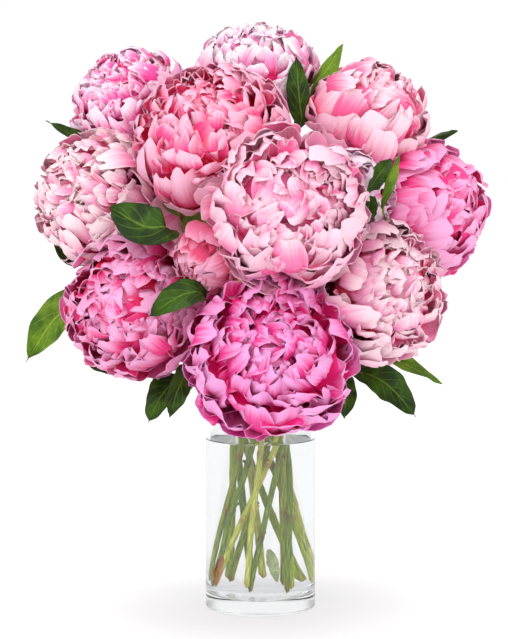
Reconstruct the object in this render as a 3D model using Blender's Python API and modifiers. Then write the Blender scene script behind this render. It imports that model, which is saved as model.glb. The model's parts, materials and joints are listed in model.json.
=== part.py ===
"""Peonies in a glass cylinder vase: a round bunch of cut double peonies standing in water.

Metres, +Z up. The origin is the centre of the vase's foot, and the bunch's front faces -Y.
Each flower head, stem and leaf is one solid, and so are the vase and its water.
"""

import math
from typing import NamedTuple

import bmesh
import bpy
import numpy as np
from mathutils import Vector

# Clearances between neighbouring solids
GAP = 0.0004
STEM_CLEARANCE = 0.0010
LEAF_CLEARANCE = 0.0016

# Vase
VASE_RADIUS = 0.050
VASE_HEIGHT = 0.200
VASE_WALL = 0.0038
VASE_FLOOR = 0.013
FOOT_ROUND = 0.0025
RIM_ROUND = 0.0012
FLOOR_ROUND = 0.007
VASE_SIDES = 48
INNER_RADIUS = VASE_RADIUS - VASE_WALL

# Water
WATER_LEVEL = 0.153
CHANNEL_ABOVE_WATER = 0.012

# Stems
STEM_RADIUS = 0.0024
STEM_SIDES_RESOLUTION = 2
STEM_POINTS = 17
CURVE_STEPS = 12
TOP_SCALE = 0.86
RECEPTACLE_SCALE = 2.1
BEND_BEHIND_HEAD = 0.024
BEND_DROP = 0.012
STRAIGHT_NECK = 0.013
FOOT_TO_FLOOR = 0.004
WAIST_HEIGHT = 0.155
FOOT_RADIUS = {"outer": 0.0375, "inner": 0.021}
WAIST_RADIUS = {"outer": 0.0165, "inner": 0.0075}
WAIST_LIMIT = 0.0175
WAIST_OPENING_BELOW = 0.17
WAIST_OPENING_ABOVE = 0.55
RIM_RADIUS = {"outer": 0.033, "inner": 0.018}
FOOT_TURN = math.radians(-40.0)
FOOT_WANDER = math.radians(48.0)
FOOT_RISE = 0.007
WANDER_STEP = 2.4
WAIST_TO_RIM_TURN = math.radians(58.0)
MOUTH_ABOVE_RIM = 0.018
SETTLE_ROUNDS = 420
SMOOTH_SHARE = 0.30

# Flower heads, as shares of a head's radius
HEAD_TOP = 0.80
HEAD_UNDER = 0.64
COLLAR_RISE = -0.12
COLLAR_SPREAD = 0.34
LOBE_SWELL = 0.055
LOBE_BALANCE = 0.3
RIDGE_SWELL = 0.045
RIDGE_TWIST = 9.0
PRESSING_REACH = 1.15
HEAD_SEGMENTS = 22
HEAD_RINGS = 11

# Leaves
BLADE_THICKNESS = 0.0007
STALK_WIDTH = 0.0024
STALK_THICKNESS = 0.0018
TIP_WIDTH = 0.0007
STALK_GAP = 0.0010
STALK_START = 0.006
STALK_ROWS = 3
BLADE_ROWS = 8
BLADE_FULLNESS = 0.85
KEEL_DEPTH = 0.16
RIB_SMOOTH_ROUNDS = 40
RIB_SMOOTH_SHARE = 0.25
RIB_SMOOTH_ROWS = 6
ROWS_AT_STEM = 3


class Head(NamedTuple):
    """One flower head: its middle, its radius, the way it faces and the ring its stem stands in."""

    name: str
    centre: tuple
    radius: float
    facing: tuple
    lobes: int
    ring: str
    colour: str


class Leaf(NamedTuple):
    """One leaf: the head whose stem bears it, the height of its joint, its rib from the stalk's end to
    the tip, its greatest width, where on the blade that is, and the way its upper face looks."""

    name: str
    stem: str
    joint_height: float
    rib: tuple
    width: float
    widest: float
    face: tuple
    colour: str


HEADS = (
    Head("head_top", (-0.003, 0.015, 0.4800), 0.052, (-0.05, -0.40, 0.92), 6, "inner", "pale"),
    Head("head_upper_left", (-0.119, 0.020, 0.455), 0.050, (-0.55, -0.52, 0.65), 6, "inner", "mid"),
    Head("head_upper_centre", (-0.041, -0.058, 0.420), 0.064, (-0.20, -0.78, 0.58), 7, "inner", "mid"),
    Head("head_upper_right", (0.095, -0.012, 0.441), 0.053, (0.35, -0.62, 0.70), 6, "inner", "soft"),
    Head("head_left", (-0.143, -0.022, 0.371), 0.056, (-0.62, -0.75, 0.22), 7, "outer", "pale"),
    Head("head_right", (0.148, -0.008, 0.362), 0.056, (0.62, -0.76, 0.20), 6, "outer", "mid"),
    Head("head_centre", (0.021, -0.124, 0.363), 0.064, (0.08, -0.97, 0.24), 7, "outer", "soft"),
    Head("head_inner_right", (0.074, -0.055, 0.371), 0.041, (0.48, -0.84, 0.20), 5, "inner", "soft"),
    Head("head_lower_left", (-0.109, -0.060, 0.279), 0.059, (-0.38, -0.92, 0.05), 6, "outer", "mid"),
    Head("head_lower_centre", (0.008, -0.118, 0.238), 0.066, (0.05, -0.94, 0.33), 8, "outer", "deep"),
    Head("head_lower_right", (0.098, -0.068, 0.291), 0.060, (0.48, -0.86, 0.15), 6, "outer", "pale"),
    Head("head_half_open", (-0.046, -0.098, 0.321), 0.031, (-0.52, -0.78, -0.34), 4, "outer", "soft"),
    Head("head_back_left", (-0.080, 0.084, 0.378), 0.056, (-0.52, 0.76, 0.38), 6, "outer", "soft"),
    Head("head_back_right", (0.078, 0.086, 0.376), 0.056, (0.50, 0.78, 0.38), 7, "outer", "mid"),
    Head("head_back_low", (-0.002, 0.092, 0.284), 0.056, (0.02, 0.96, 0.26), 6, "outer", "pale"),
)

LEAVES = (
    Leaf("leaf_upper_left", "head_upper_left", 0.375,
         ((-0.118, 0.030, 0.4020), (-0.150, 0.006, 0.4150), (-0.1915, -0.006, 0.4402)),
         0.019, 0.45, (0.1, -0.75, 0.65), "dark"),
    Leaf("leaf_top_left", "head_top", 0.405,
         ((0.038, -0.022, 0.4230), (0.033, -0.036, 0.4620), (0.031, -0.034, 0.4951)),
         0.021, 0.55, (0.15, -0.98, 0.10), "dark"),
    Leaf("leaf_top_right", "head_upper_right", 0.395,
         ((0.043, -0.004, 0.4450), (0.058, -0.016, 0.4800), (0.0731, -0.010, 0.5077)),
         0.017, 0.50, (-0.45, -0.85, 0.25), "light"),
    Leaf("leaf_right_upper", "head_right", 0.330,
         ((0.128, 0.052, 0.3980), (0.150, 0.030, 0.4200), (0.1781, 0.012, 0.4315)),
         0.017, 0.50, (-0.2, -0.60, 0.77), "dark"),
    Leaf("leaf_right_centre", "head_right", 0.318,
         ((0.098, -0.109, 0.3560), (0.106, -0.116, 0.3800), (0.1169, -0.106, 0.4081)),
         0.013, 0.45, (-0.75, -0.55, 0.35), "light"),
    Leaf("leaf_left_centre", "head_left", 0.320,
         ((-0.066, -0.108, 0.3520), (-0.096, -0.106, 0.3470), (-0.1286, -0.094, 0.3648)),
         0.036, 0.48, (0.05, -0.93, 0.36), "dark"),
    Leaf("leaf_left_low", "head_half_open", 0.262,
         ((-0.040, -0.118, 0.2930), (-0.064, -0.128, 0.2920), (-0.0947, -0.126, 0.2735)),
         0.024, 0.45, (-0.1, -0.90, 0.42), "dark"),
    Leaf("leaf_left_small", "head_left", 0.300,
         ((-0.148, -0.006, 0.3140), (-0.166, -0.012, 0.3200), (-0.1829, -0.020, 0.3333)),
         0.020, 0.50, (-0.2, -0.80, 0.56), "dark"),
    Leaf("leaf_left_big", "head_lower_left", 0.238,
         ((-0.132, -0.004, 0.2700), (-0.176, -0.010, 0.2690), (-0.2097, -0.020, 0.2251)),
         0.036, 0.42, (-0.15, -0.93, 0.33), "light"),
    Leaf("leaf_left_under", "head_lower_left", 0.226,
         ((-0.096, -0.024, 0.2160), (-0.126, -0.030, 0.2150), (-0.1561, -0.030, 0.2242)),
         0.015, 0.50, (0.0, -0.60, 0.80), "dark"),
    Leaf("leaf_bottom_left", "head_lower_left", 0.214,
         ((-0.070, -0.040, 0.2160), (-0.086, -0.064, 0.1990), (-0.0981, -0.070, 0.1768)),
         0.026, 0.48, (-0.35, -0.92, 0.10), "dark"),
    Leaf("leaf_bottom_mid", "head_half_open", 0.216,
         ((-0.060, -0.056, 0.2280), (-0.072, -0.082, 0.2080), (-0.0787, -0.084, 0.1836)),
         0.021, 0.48, (0.35, -0.93, 0.05), "dark"),
    Leaf("leaf_bottom_right_near", "head_lower_right", 0.216,
         ((0.066, -0.048, 0.2230), (0.074, -0.064, 0.2040), (0.0728, -0.066, 0.1799)),
         0.020, 0.48, (-0.1, -0.98, 0.15), "dark"),
    Leaf("leaf_bottom_right_mid", "head_lower_right", 0.226,
         ((0.078, -0.034, 0.2220), (0.109, -0.046, 0.2080), (0.1367, -0.050, 0.1795)),
         0.029, 0.50, (0.25, -0.90, 0.35), "dark"),
    Leaf("leaf_bottom_right_far", "head_lower_right", 0.236,
         ((0.092, -0.022, 0.2320), (0.124, -0.034, 0.2250), (0.1603, -0.040, 0.2076)),
         0.017, 0.42, (0.05, -0.62, 0.78), "light"),
    Leaf("leaf_back_left", "head_back_left", 0.262,
         ((-0.082, 0.050, 0.2900), (-0.116, 0.070, 0.2960), (-0.142, 0.092, 0.2740)),
         0.030, 0.45, (-0.55, 0.60, 0.58), "dark"),
    Leaf("leaf_back_left_low", "head_back_low", 0.216,
         ((-0.054, 0.042, 0.2260), (-0.082, 0.066, 0.2200), (-0.102, 0.084, 0.1960)),
         0.026, 0.45, (-0.35, 0.70, 0.62), "dark"),
    Leaf("leaf_back_right", "head_back_right", 0.262,
         ((0.080, 0.052, 0.2900), (0.114, 0.074, 0.2960), (0.140, 0.096, 0.2740)),
         0.030, 0.45, (0.55, 0.60, 0.58), "dark"),
    Leaf("leaf_back_right_low", "head_back_low", 0.222,
         ((0.052, 0.044, 0.2260), (0.080, 0.068, 0.2200), (0.100, 0.086, 0.1960)),
         0.026, 0.45, (0.35, 0.70, 0.62), "dark"),
    Leaf("leaf_back_top", "head_back_left", 0.330,
         ((-0.006, 0.074, 0.4000), (-0.004, 0.092, 0.4360), (0.000, 0.098, 0.4700)),
         0.024, 0.50, (0.05, 0.90, 0.44), "light"),
    Leaf("leaf_left_back", "head_left", 0.310,
         ((-0.140, 0.044, 0.3560), (-0.164, 0.056, 0.3680), (-0.186, 0.060, 0.3900)),
         0.020, 0.50, (-0.55, 0.62, 0.56), "dark"),
)

COLOURS = {
    "pale": ((0.93, 0.62, 0.70), 0.55),
    "soft": ((0.92, 0.52, 0.68), 0.55),
    "mid": ((0.90, 0.36, 0.60), 0.55),
    "deep": ((0.86, 0.22, 0.54), 0.55),
    "stem": ((0.28, 0.42, 0.06), 0.45),
    "dark": ((0.06, 0.14, 0.02), 0.40),
    "light": ((0.18, 0.32, 0.05), 0.40),
    "glass": ((0.93, 0.95, 0.96), 0.03),
    "water": ((0.96, 0.98, 0.99), 0.02),
}
SEE_THROUGH = {"glass": 1.5, "water": 1.33}


def unit(vector):
    """The vector at length 1."""
    array = np.asarray(vector, float)
    return array / np.linalg.norm(array)


def material(name):
    """The Principled material of this colour name, made once."""
    found = bpy.data.materials.get(name)
    if found:
        return found
    colour, roughness = COLOURS[name]
    made = bpy.data.materials.new(name)
    made.use_nodes = True
    shader = made.node_tree.nodes["Principled BSDF"]
    shader.inputs["Base Color"].default_value = (*colour, 1.0)
    shader.inputs["Roughness"].default_value = roughness
    shader.inputs["Metallic"].default_value = 0.0
    if name in SEE_THROUGH:
        shader.inputs["Transmission Weight"].default_value = 1.0
        shader.inputs["IOR"].default_value = SEE_THROUGH[name]
    return made


def collection(name, shown):
    """A new collection in the scene."""
    made = bpy.data.collections.new(name)
    bpy.context.scene.collection.children.link(made)
    made.hide_render = not shown
    return made


def add_object(name, data, colour, home):
    """A new object of this data and colour in the collection home."""
    made = bpy.data.objects.new(name, data)
    data.materials.append(material(colour))
    home.objects.link(made)
    return made


def baked(obj, name, colour, home):
    """obj's evaluated shape as a new mesh object, with its caps welded. obj is removed."""
    bpy.context.view_layer.update()
    graph = bpy.context.evaluated_depsgraph_get()
    mesh = bpy.data.meshes.new_from_object(obj.evaluated_get(graph))
    mesh.materials.clear()
    shape = bmesh.new()
    shape.from_mesh(mesh)
    bmesh.ops.remove_doubles(shape, verts=shape.verts, dist=1e-6)
    shape.to_mesh(mesh)
    shape.free()
    place = obj.matrix_world.copy()
    bpy.data.objects.remove(obj)
    made = add_object(name, mesh, colour, home)
    made.matrix_world = place
    return made


# Flower heads


def head_axes(head):
    """The head's own axes as rows: two across its face, then the way it faces."""
    facing = unit(head.facing)
    across = unit(np.cross((0.0, 0.0, 1.0), facing))
    return np.array([across, np.cross(facing, across), facing])


def free_radius(head, directions):
    """How far the head reaches from its middle along each unit direction, with nothing pressing it."""
    local = directions @ head_axes(head).T
    rise = local[..., 2]
    spread = np.sqrt(np.clip(1.0 - rise**2, 0.0, 1.0))
    depth = np.where(rise > 0.0, HEAD_TOP, HEAD_UNDER)
    smooth = 1.0 / np.sqrt(spread**2 + (rise / depth) ** 2)
    turn = np.arctan2(local[..., 1], local[..., 0])
    collar = np.exp(-(((rise - COLLAR_RISE) / COLLAR_SPREAD) ** 2))
    crown = np.clip(rise, 0.0, 1.0) * spread
    lobes = LOBE_SWELL * collar * (np.cos(head.lobes * turn) - LOBE_BALANCE)
    ridges = RIDGE_SWELL * crown * np.cos((head.lobes - 1) * turn + RIDGE_TWIST * rise)
    return head.radius * (smooth + lobes + ridges)


def pressing_planes(head):
    """(unit direction, distance from the head's middle) of each plane where something presses it."""
    planes = []
    middle = np.array(head.centre)
    for other in HEADS:
        if other is head:
            continue
        away = np.array(other.centre) - middle
        distance = np.linalg.norm(away)
        if distance > PRESSING_REACH * (head.radius + other.radius):
            continue
        toward = away / distance
        own = float(free_radius(head, toward))
        theirs = float(free_radius(other, -toward))
        planes.append((toward, own + (distance - own - theirs) / 2 - GAP))
    if middle[2] - head.radius < VASE_HEIGHT:
        reach = math.hypot(middle[0], middle[1])
        inwards = np.array([-middle[0] / reach, -middle[1] / reach, 0.0])
        planes.append((inwards, reach - VASE_RADIUS - 2 * GAP))
    return planes


PLANES = {head.name: pressing_planes(head) for head in HEADS}


def pressed_radius(head, directions):
    """How far the head reaches along each unit direction, flattened where its neighbours press it."""
    reach = free_radius(head, directions)
    for toward, distance in PLANES[head.name]:
        along = np.maximum(directions @ toward, 1e-6)
        reach = np.minimum(reach, distance / along)
    return reach


def build_head(head, home):
    """The closed solid of one flower head: a sphere drawn out to the head's pressed shape."""
    shape = bmesh.new()
    bmesh.ops.create_uvsphere(shape, u_segments=HEAD_SEGMENTS, v_segments=HEAD_RINGS, radius=1.0)
    directions = np.array([unit(vertex.co) for vertex in shape.verts]) @ head_axes(head)
    reach = pressed_radius(head, directions)
    for vertex, direction, distance in zip(shape.verts, directions, reach):
        vertex.co = Vector(direction * distance)
    mesh = bpy.data.meshes.new(head.name)
    shape.to_mesh(mesh)
    shape.free()
    mesh.shade_smooth()
    made = add_object(head.name, mesh, head.colour, home)
    made.location = head.centre


def push_out_of_heads(points, margin):
    """Moves points that are inside a head, or closer to it than margin, straight out of it."""
    for head in HEADS:
        offset = points - np.array(head.centre)
        distance = np.linalg.norm(offset, axis=-1, keepdims=True)
        directions = offset / np.maximum(distance, 1e-9)
        wanted = pressed_radius(head, directions)[..., None] + margin
        points = np.where(distance < wanted, np.array(head.centre) + directions * wanted, points)
    return points


# Stems


def smooth_route(controls, count):
    """count points evenly along the Catmull-Rom curve through the controls."""
    controls = np.asarray(controls, float)
    ends = np.vstack([2 * controls[0] - controls[1], controls, 2 * controls[-1] - controls[-2]])
    fine = []
    for a, b, c, d in zip(ends, ends[1:], ends[2:], ends[3:]):
        for t in np.linspace(0.0, 1.0, CURVE_STEPS, endpoint=False):
            fine.append(0.5 * (2 * b + (c - a) * t + (2 * a - 5 * b + 4 * c - d) * t**2
                               + (3 * b - a - 3 * c + d) * t**3))
    fine = np.array(fine + [controls[-1]])
    along = np.concatenate([[0.0], np.cumsum(np.linalg.norm(np.diff(fine, axis=0), axis=1))])
    wanted = np.linspace(0.0, along[-1], count)
    return np.stack([np.interp(wanted, along, fine[:, axis]) for axis in range(3)], axis=1)


def ring_turns(ring):
    """{head name: turn round the vase's axis} at the rim, evenly spaced in the order of the heads."""
    members = [head for head in HEADS if head.ring == ring]
    turns = {head.name: math.atan2(head.centre[1], head.centre[0]) % math.tau for head in members}
    ordered = sorted(turns, key=turns.get)
    step = math.tau / len(ordered)
    start = np.mean([turns[name] - index * step for index, name in enumerate(ordered)])
    return {name: start + index * step for index, name in enumerate(ordered)}


def polar(radius, turn, height):
    """The point at this radius and turn round the vase's axis."""
    return np.array([radius * math.cos(turn), radius * math.sin(turn), height])


def head_joint(head):
    """Where the stem's top meets the head, and the way the stem points there."""
    facing = unit(head.facing)
    under = float(pressed_radius(head, -facing))
    return np.array(head.centre) - facing * (under + GAP), facing


def first_routes():
    """Each stem's route from its foot, through the waist of the bunch, to its head."""
    routes = []
    turns = {ring: ring_turns(ring) for ring in FOOT_RADIUS}
    for index, head in enumerate(HEADS):
        turn = turns[head.ring][head.name]
        waist_turn = turn - WAIST_TO_RIM_TURN
        wander = math.sin(WANDER_STEP * index)
        foot_turn = waist_turn + FOOT_TURN + FOOT_WANDER * wander
        joint, facing = head_joint(head)
        bend = joint - facing * BEND_BEHIND_HEAD - np.array([0.0, 0.0, BEND_DROP])
        foot_height = VASE_FLOOR + FOOT_TO_FLOOR + FOOT_RISE * abs(wander)
        routes.append(smooth_route([
            polar(FOOT_RADIUS[head.ring], foot_turn, foot_height),
            polar(WAIST_RADIUS[head.ring], waist_turn, WAIST_HEIGHT),
            polar(RIM_RADIUS[head.ring], turn, VASE_HEIGHT),
            bend,
            joint,
        ], STEM_POINTS))
    return np.array(routes)


def part_stems(routes, apart):
    """Moves stretches of different stems that are closer than apart away from each other."""
    stems, count = routes.shape[:2]
    starts = routes[:, :-1].reshape(-1, 3)
    spans = (routes[:, 1:] - routes[:, :-1]).reshape(-1, 3)
    owner = np.repeat(np.arange(stems), count - 1)
    first, second = np.triu_indices(len(starts), 1)
    different = owner[first] != owner[second]
    first, second = first[different], second[different]
    u, v, w = spans[first], spans[second], starts[first] - starts[second]
    uu, uv, vv = (u * u).sum(1), (u * v).sum(1), (v * v).sum(1)
    uw, vw = (u * w).sum(1), (v * w).sum(1)
    s = np.clip((uv * vw - vv * uw) / np.maximum(uu * vv - uv * uv, 1e-14), 0.0, 1.0)
    t = np.clip((uv * s + vw) / np.maximum(vv, 1e-14), 0.0, 1.0)
    s = np.clip((uv * t - uw) / np.maximum(uu, 1e-14), 0.0, 1.0)
    between = w + s[:, None] * u - t[:, None] * v
    distance = np.linalg.norm(between, axis=1)
    close = distance < apart
    push = between[close] / np.maximum(distance[close], 1e-9)[:, None]
    push *= ((apart - distance[close]) / 2)[:, None]
    moved = np.zeros_like(routes)
    for pair, share, sign in ((first, s, 1.0), (second, t, -1.0)):
        stem, step = np.divmod(pair[close], count - 1)
        np.add.at(moved, (stem, step), sign * push * (1 - share[close])[:, None])
        np.add.at(moved, (stem, step + 1), sign * push * share[close][:, None])
    return routes + moved


def keep_in_vase(routes):
    """Moves the stems' points off the vase's wall and floor, and gathers them at the waist."""
    inner = INNER_RADIUS - 1.5 * STEM_RADIUS - STEM_CLEARANCE
    above = routes[..., 2:] - WAIST_HEIGHT
    opening = np.where(above > 0.0, WAIST_OPENING_ABOVE * above, -WAIST_OPENING_BELOW * above)
    inner = np.minimum(inner, WAIST_LIMIT + opening)
    flat = np.linalg.norm(routes[..., :2], axis=-1, keepdims=True)
    inside = routes[..., 2:] < VASE_HEIGHT + MOUTH_ABOVE_RIM
    share = np.where(inside & (flat > inner), inner / np.maximum(flat, 1e-9), 1.0)
    kept = routes * np.concatenate([share, share, np.ones_like(share)], axis=-1)
    kept[..., 2] = np.maximum(kept[..., 2], VASE_FLOOR + FOOT_TO_FLOOR)
    return kept


def settle_stems():
    """The stems' routes, bent smoothly round the heads and each other."""
    routes = first_routes()
    feet, joints = routes[:, 0].copy(), routes[:, -2:].copy()
    for index, head in enumerate(HEADS):
        joint, facing = head_joint(head)
        joints[index, 1] = joint
        joints[index, 0] = joint - facing * STRAIGHT_NECK
    apart = 2 * STEM_RADIUS + STEM_CLEARANCE
    for turn in range(SETTLE_ROUNDS):
        settling = SMOOTH_SHARE * (1.0 - turn / SETTLE_ROUNDS)
        middle = (routes[:, :-2] + routes[:, 2:]) / 2
        routes[:, 1:-1] += settling * (middle - routes[:, 1:-1])
        routes[:, 0], routes[:, -2:] = feet, joints
        near = push_out_of_heads(routes[:, :-1], STEM_RADIUS + STEM_CLEARANCE)
        routes[:, :-2] = near[:, :-1]
        routes = part_stems(routes, apart)
        routes = keep_in_vase(routes)
        routes[:, -2:] = joints
        feet = routes[:, 0].copy()
    return {head.name: route for head, route in zip(HEADS, routes)}


def tube(name, points, radius, scales):
    """A round tube with filled caps through the points, its radius scaled at each."""
    curve = bpy.data.curves.new(name, "CURVE")
    curve.dimensions = "3D"
    curve.bevel_depth = radius
    curve.bevel_resolution = STEM_SIDES_RESOLUTION
    curve.use_fill_caps = True
    spline = curve.splines.new("POLY")
    spline.points.add(len(points) - 1)
    for place, point, scale in zip(spline.points, points, scales):
        place.co = (*point, 1.0)
        place.radius = scale
    made = bpy.data.objects.new(name, curve)
    bpy.context.scene.collection.objects.link(made)
    return made


def build_stem(head, route, home):
    """One stem, a little thicker at its foot and swelling into the receptacle under its head."""
    scales = np.linspace(1.0, TOP_SCALE, len(route))
    scales[-1] = RECEPTACLE_SCALE
    name = head.name.replace("head", "stem")
    baked(tube(name + "_line", route, STEM_RADIUS, scales), name, "stem", home)


# Vase and water


def arc(centre, radius, start, end, steps):
    """Points on an arc in the profile's plane, from start to end in degrees."""
    return [(centre[0] + radius * math.cos(turn), centre[1] + radius * math.sin(turn))
            for turn in np.radians(np.linspace(start, end, steps + 1))]


def turned(name, profile, colour, home):
    """The profile, as (distance from the axis, height) pairs, turned round the vase's axis."""
    mesh = bpy.data.meshes.new(name)
    edges = [(i, i + 1) for i in range(len(profile) - 1)]
    mesh.from_pydata([(x, 0.0, z) for x, z in profile], edges, [])
    made = add_object(name, mesh, colour, home)
    screw = made.modifiers.new("turn", "SCREW")
    screw.axis = "Z"
    screw.steps = screw.render_steps = VASE_SIDES
    screw.use_merge_vertices = True
    screw.merge_threshold = 0.00001
    screw.use_smooth_shade = True
    return made


def vase_profile():
    """The vase's wall from the middle of its inner floor, over the rim and down to the foot."""
    floor_corner = (INNER_RADIUS - FLOOR_ROUND, VASE_FLOOR + FLOOR_ROUND)
    rim = VASE_HEIGHT - RIM_ROUND
    return ([(0.0, VASE_FLOOR)]
            + arc(floor_corner, FLOOR_ROUND, -90, 0, 3)
            + arc((INNER_RADIUS + RIM_ROUND, rim), RIM_ROUND, 180, 90, 2)
            + arc((VASE_RADIUS - RIM_ROUND, rim), RIM_ROUND, 90, 0, 2)
            + arc((VASE_RADIUS - FOOT_ROUND, FOOT_ROUND), FOOT_ROUND, 0, -90, 2)
            + [(0.0, 0.0)])


def build_water(routes, home, cutters):
    """The water: the vase's inside up to the water line, with a channel round each stem."""
    reach = INNER_RADIUS - GAP
    corner = (reach - FLOOR_ROUND, VASE_FLOOR + GAP + FLOOR_ROUND)
    rings = [(0.0, WATER_LEVEL), (reach, WATER_LEVEL)]
    rings += arc(corner, FLOOR_ROUND, 0, -90, 3) + [(0.0, VASE_FLOOR + GAP)]
    solid = turned("water_solid", rings, "water", bpy.context.scene.collection)
    water = baked(solid, "water", "water", home)
    for head in HEADS:
        route = routes[head.name].copy()
        under = np.flatnonzero(route[:, 2] > WATER_LEVEL + CHANNEL_ABOVE_WATER)[0] + 1
        route = route[:under]
        route[0] -= unit(route[1] - route[0]) * GAP
        line = tube("channel_line", route, STEM_RADIUS + GAP, np.ones(len(route)))
        cutter = baked(line, head.name.replace("head", "channel"), "water", cutters)
        cutter.hide_render = True
        cutter.display_type = "WIRE"
        cut = water.modifiers.new(cutter.name, "BOOLEAN")
        cut.operation = "DIFFERENCE"
        cut.object = cutter


# Leaves


def leaf_width(leaf, share):
    """The blade's width at this share of its length, from its base to its tip."""
    bend = math.log(0.5) / math.log(leaf.widest)
    swell = math.sin(math.pi * share**bend) ** BLADE_FULLNESS
    return max(leaf.width * swell, STALK_WIDTH * (1.0 - share) + TIP_WIDTH * share)


def leaf_rib(leaf, routes):
    """The leaf's rib: the rows of its stalk from the stem, then the rows of its blade to the tip."""
    route = routes[leaf.stem]
    above = np.flatnonzero(route[:, 2] > leaf.joint_height)[0]
    low, high = route[above - 1], route[above]
    joint = low + (high - low) * (leaf.joint_height - low[2]) / (high[2] - low[2])
    base = np.array(leaf.rib[0])
    along = unit(high - low)
    outwards = base - joint
    outwards = unit(outwards - along * (outwards @ along))
    start = joint + outwards * (STEM_RADIUS + STALK_GAP)
    stalk = smooth_route([start, start + outwards * STALK_START, base], STALK_ROWS + 2)[:-1]
    blade = smooth_route(leaf.rib, BLADE_ROWS + 1)
    rib = np.vstack([stalk, blade])
    margin = LEAF_CLEARANCE + STALK_THICKNESS / 2
    held = rib[0].copy()
    smoothed = slice(1, RIB_SMOOTH_ROWS)
    for _ in range(RIB_SMOOTH_ROUNDS):
        middle = (rib[:-2] + rib[2:]) / 2
        rib[smoothed] += RIB_SMOOTH_SHARE * (middle[:RIB_SMOOTH_ROWS - 1] - rib[smoothed])
        rib = push_out_of_heads(rib, margin)
        rib[0] = held
    return rib


def build_leaf(leaf, routes, home):
    """One leaf as a closed sheet: a narrow stalk that widens into a keeled, pointed blade."""
    rib = leaf_rib(leaf, routes)
    rows = len(rib)
    first_blade = rows - BLADE_ROWS - 1
    shape = bmesh.new()
    bmesh.ops.create_grid(shape, x_segments=2, y_segments=rows - 1, size=1.0)
    ordered = sorted(shape.verts, key=lambda v: (round(v.co.y, 5), round(v.co.x, 5)))
    stalk = []
    for row in range(rows):
        ahead = unit(rib[min(row + 1, rows - 1)] - rib[max(row - 1, 0)])
        across = unit(np.cross(leaf.face, ahead))
        upwards = np.cross(ahead, across)
        share = max(0.0, (row - first_blade) / BLADE_ROWS)
        half = (leaf_width(leaf, share) if row >= first_blade else STALK_WIDTH) / 2
        for column, side in enumerate((-1.0, 0.0, 1.0)):
            vertex = ordered[3 * row + column]
            lift = KEEL_DEPTH * half * 2 * abs(side) if row > first_blade else 0.0
            place = rib[row] + across * side * half + upwards * lift
            if row >= ROWS_AT_STEM:
                place = push_out_of_heads(place[None], LEAF_CLEARANCE)[0]
            vertex.co = Vector(place)
            if row <= first_blade:
                stalk.append(vertex.index)
    mesh = bpy.data.meshes.new(leaf.name)
    shape.to_mesh(mesh)
    shape.free()
    mesh.shade_smooth()
    made = add_object(leaf.name, mesh, leaf.colour, home)
    group = made.vertex_groups.new(name="stalk")
    group.add(stalk, 1.0, "REPLACE")
    solidify = made.modifiers.new("thickness", "SOLIDIFY")
    solidify.thickness = STALK_THICKNESS
    solidify.offset = 0.0
    solidify.vertex_group = "stalk"
    solidify.thickness_vertex_group = BLADE_THICKNESS / STALK_THICKNESS


def main():
    """Builds the whole bunch in its vase."""
    for obj in list(bpy.data.objects):
        bpy.data.objects.remove(obj)
    home = collection("peonies_in_vase", True)
    cutters = collection("cutters", False)
    turned("vase", vase_profile(), "glass", home)
    routes = settle_stems()
    build_water(routes, home, cutters)
    for head in HEADS:
        build_head(head, home)
        build_stem(head, routes[head.name], home)
    for leaf in LEAVES:
        build_leaf(leaf, routes, home)


main()
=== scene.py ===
"""Peonies in a glass cylinder vase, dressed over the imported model.

Every flower head is rebuilt petal by petal inside the outer shape of its solid, every stem and leaf is
remodelled along the line of its solid, and the vase and its water are turned as clear glass and liquid.
"""

import json
import logging
import math
from collections.abc import Iterator
from contextlib import contextmanager
from dataclasses import dataclass, field
from enum import Enum

import bmesh
import bpy
import numpy as np
from mathutils import Matrix, Vector
from mathutils.bvhtree import BVHTree


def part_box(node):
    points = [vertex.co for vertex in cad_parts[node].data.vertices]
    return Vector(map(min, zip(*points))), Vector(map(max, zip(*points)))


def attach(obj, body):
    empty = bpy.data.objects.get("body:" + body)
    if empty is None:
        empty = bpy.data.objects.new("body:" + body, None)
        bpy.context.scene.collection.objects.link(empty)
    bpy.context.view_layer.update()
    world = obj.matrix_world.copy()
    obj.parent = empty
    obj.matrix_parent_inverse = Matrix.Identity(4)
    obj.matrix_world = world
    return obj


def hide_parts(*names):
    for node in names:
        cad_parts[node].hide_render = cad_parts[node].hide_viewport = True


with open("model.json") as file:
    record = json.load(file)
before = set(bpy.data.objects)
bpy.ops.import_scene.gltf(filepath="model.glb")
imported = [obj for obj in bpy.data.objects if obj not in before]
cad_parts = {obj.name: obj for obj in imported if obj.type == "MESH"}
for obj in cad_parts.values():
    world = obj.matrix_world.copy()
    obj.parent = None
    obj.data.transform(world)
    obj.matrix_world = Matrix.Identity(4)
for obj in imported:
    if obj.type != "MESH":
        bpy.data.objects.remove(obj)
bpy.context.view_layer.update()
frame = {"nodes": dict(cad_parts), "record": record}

LOG = logging.getLogger("peonies")
GOLDEN_ANGLE = math.pi * (3.0 - math.sqrt(5.0))
BODY = "root"
TINY = 1e-12  # keeps a division away from zero
SAME_POINT = 2e-6  # vertices of a CAD mesh closer than this are one
LEAD = (0.31, 0.95, 0.05)  # a direction that no stem or petal runs along
UV_MARGIN = 0.04  # clear share at each side of a sheet's square in the UV map

Colour = tuple[float, float, float]
Point = tuple[float, float, float]


# Small tools


def linear(colour: Colour) -> tuple[float, float, float, float]:
    """A colour as seen on a screen, as the linear values that a shader takes."""
    return (*[c / 12.92 if c <= 0.04045 else ((c + 0.055) / 1.055) ** 2.4 for c in colour], 1.0)


def unit(vectors: np.ndarray) -> np.ndarray:
    """The vectors at length 1, along the last axis."""
    vectors = np.asarray(vectors, float)
    return vectors / np.maximum(np.linalg.norm(vectors, axis=-1, keepdims=True), TINY)


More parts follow.
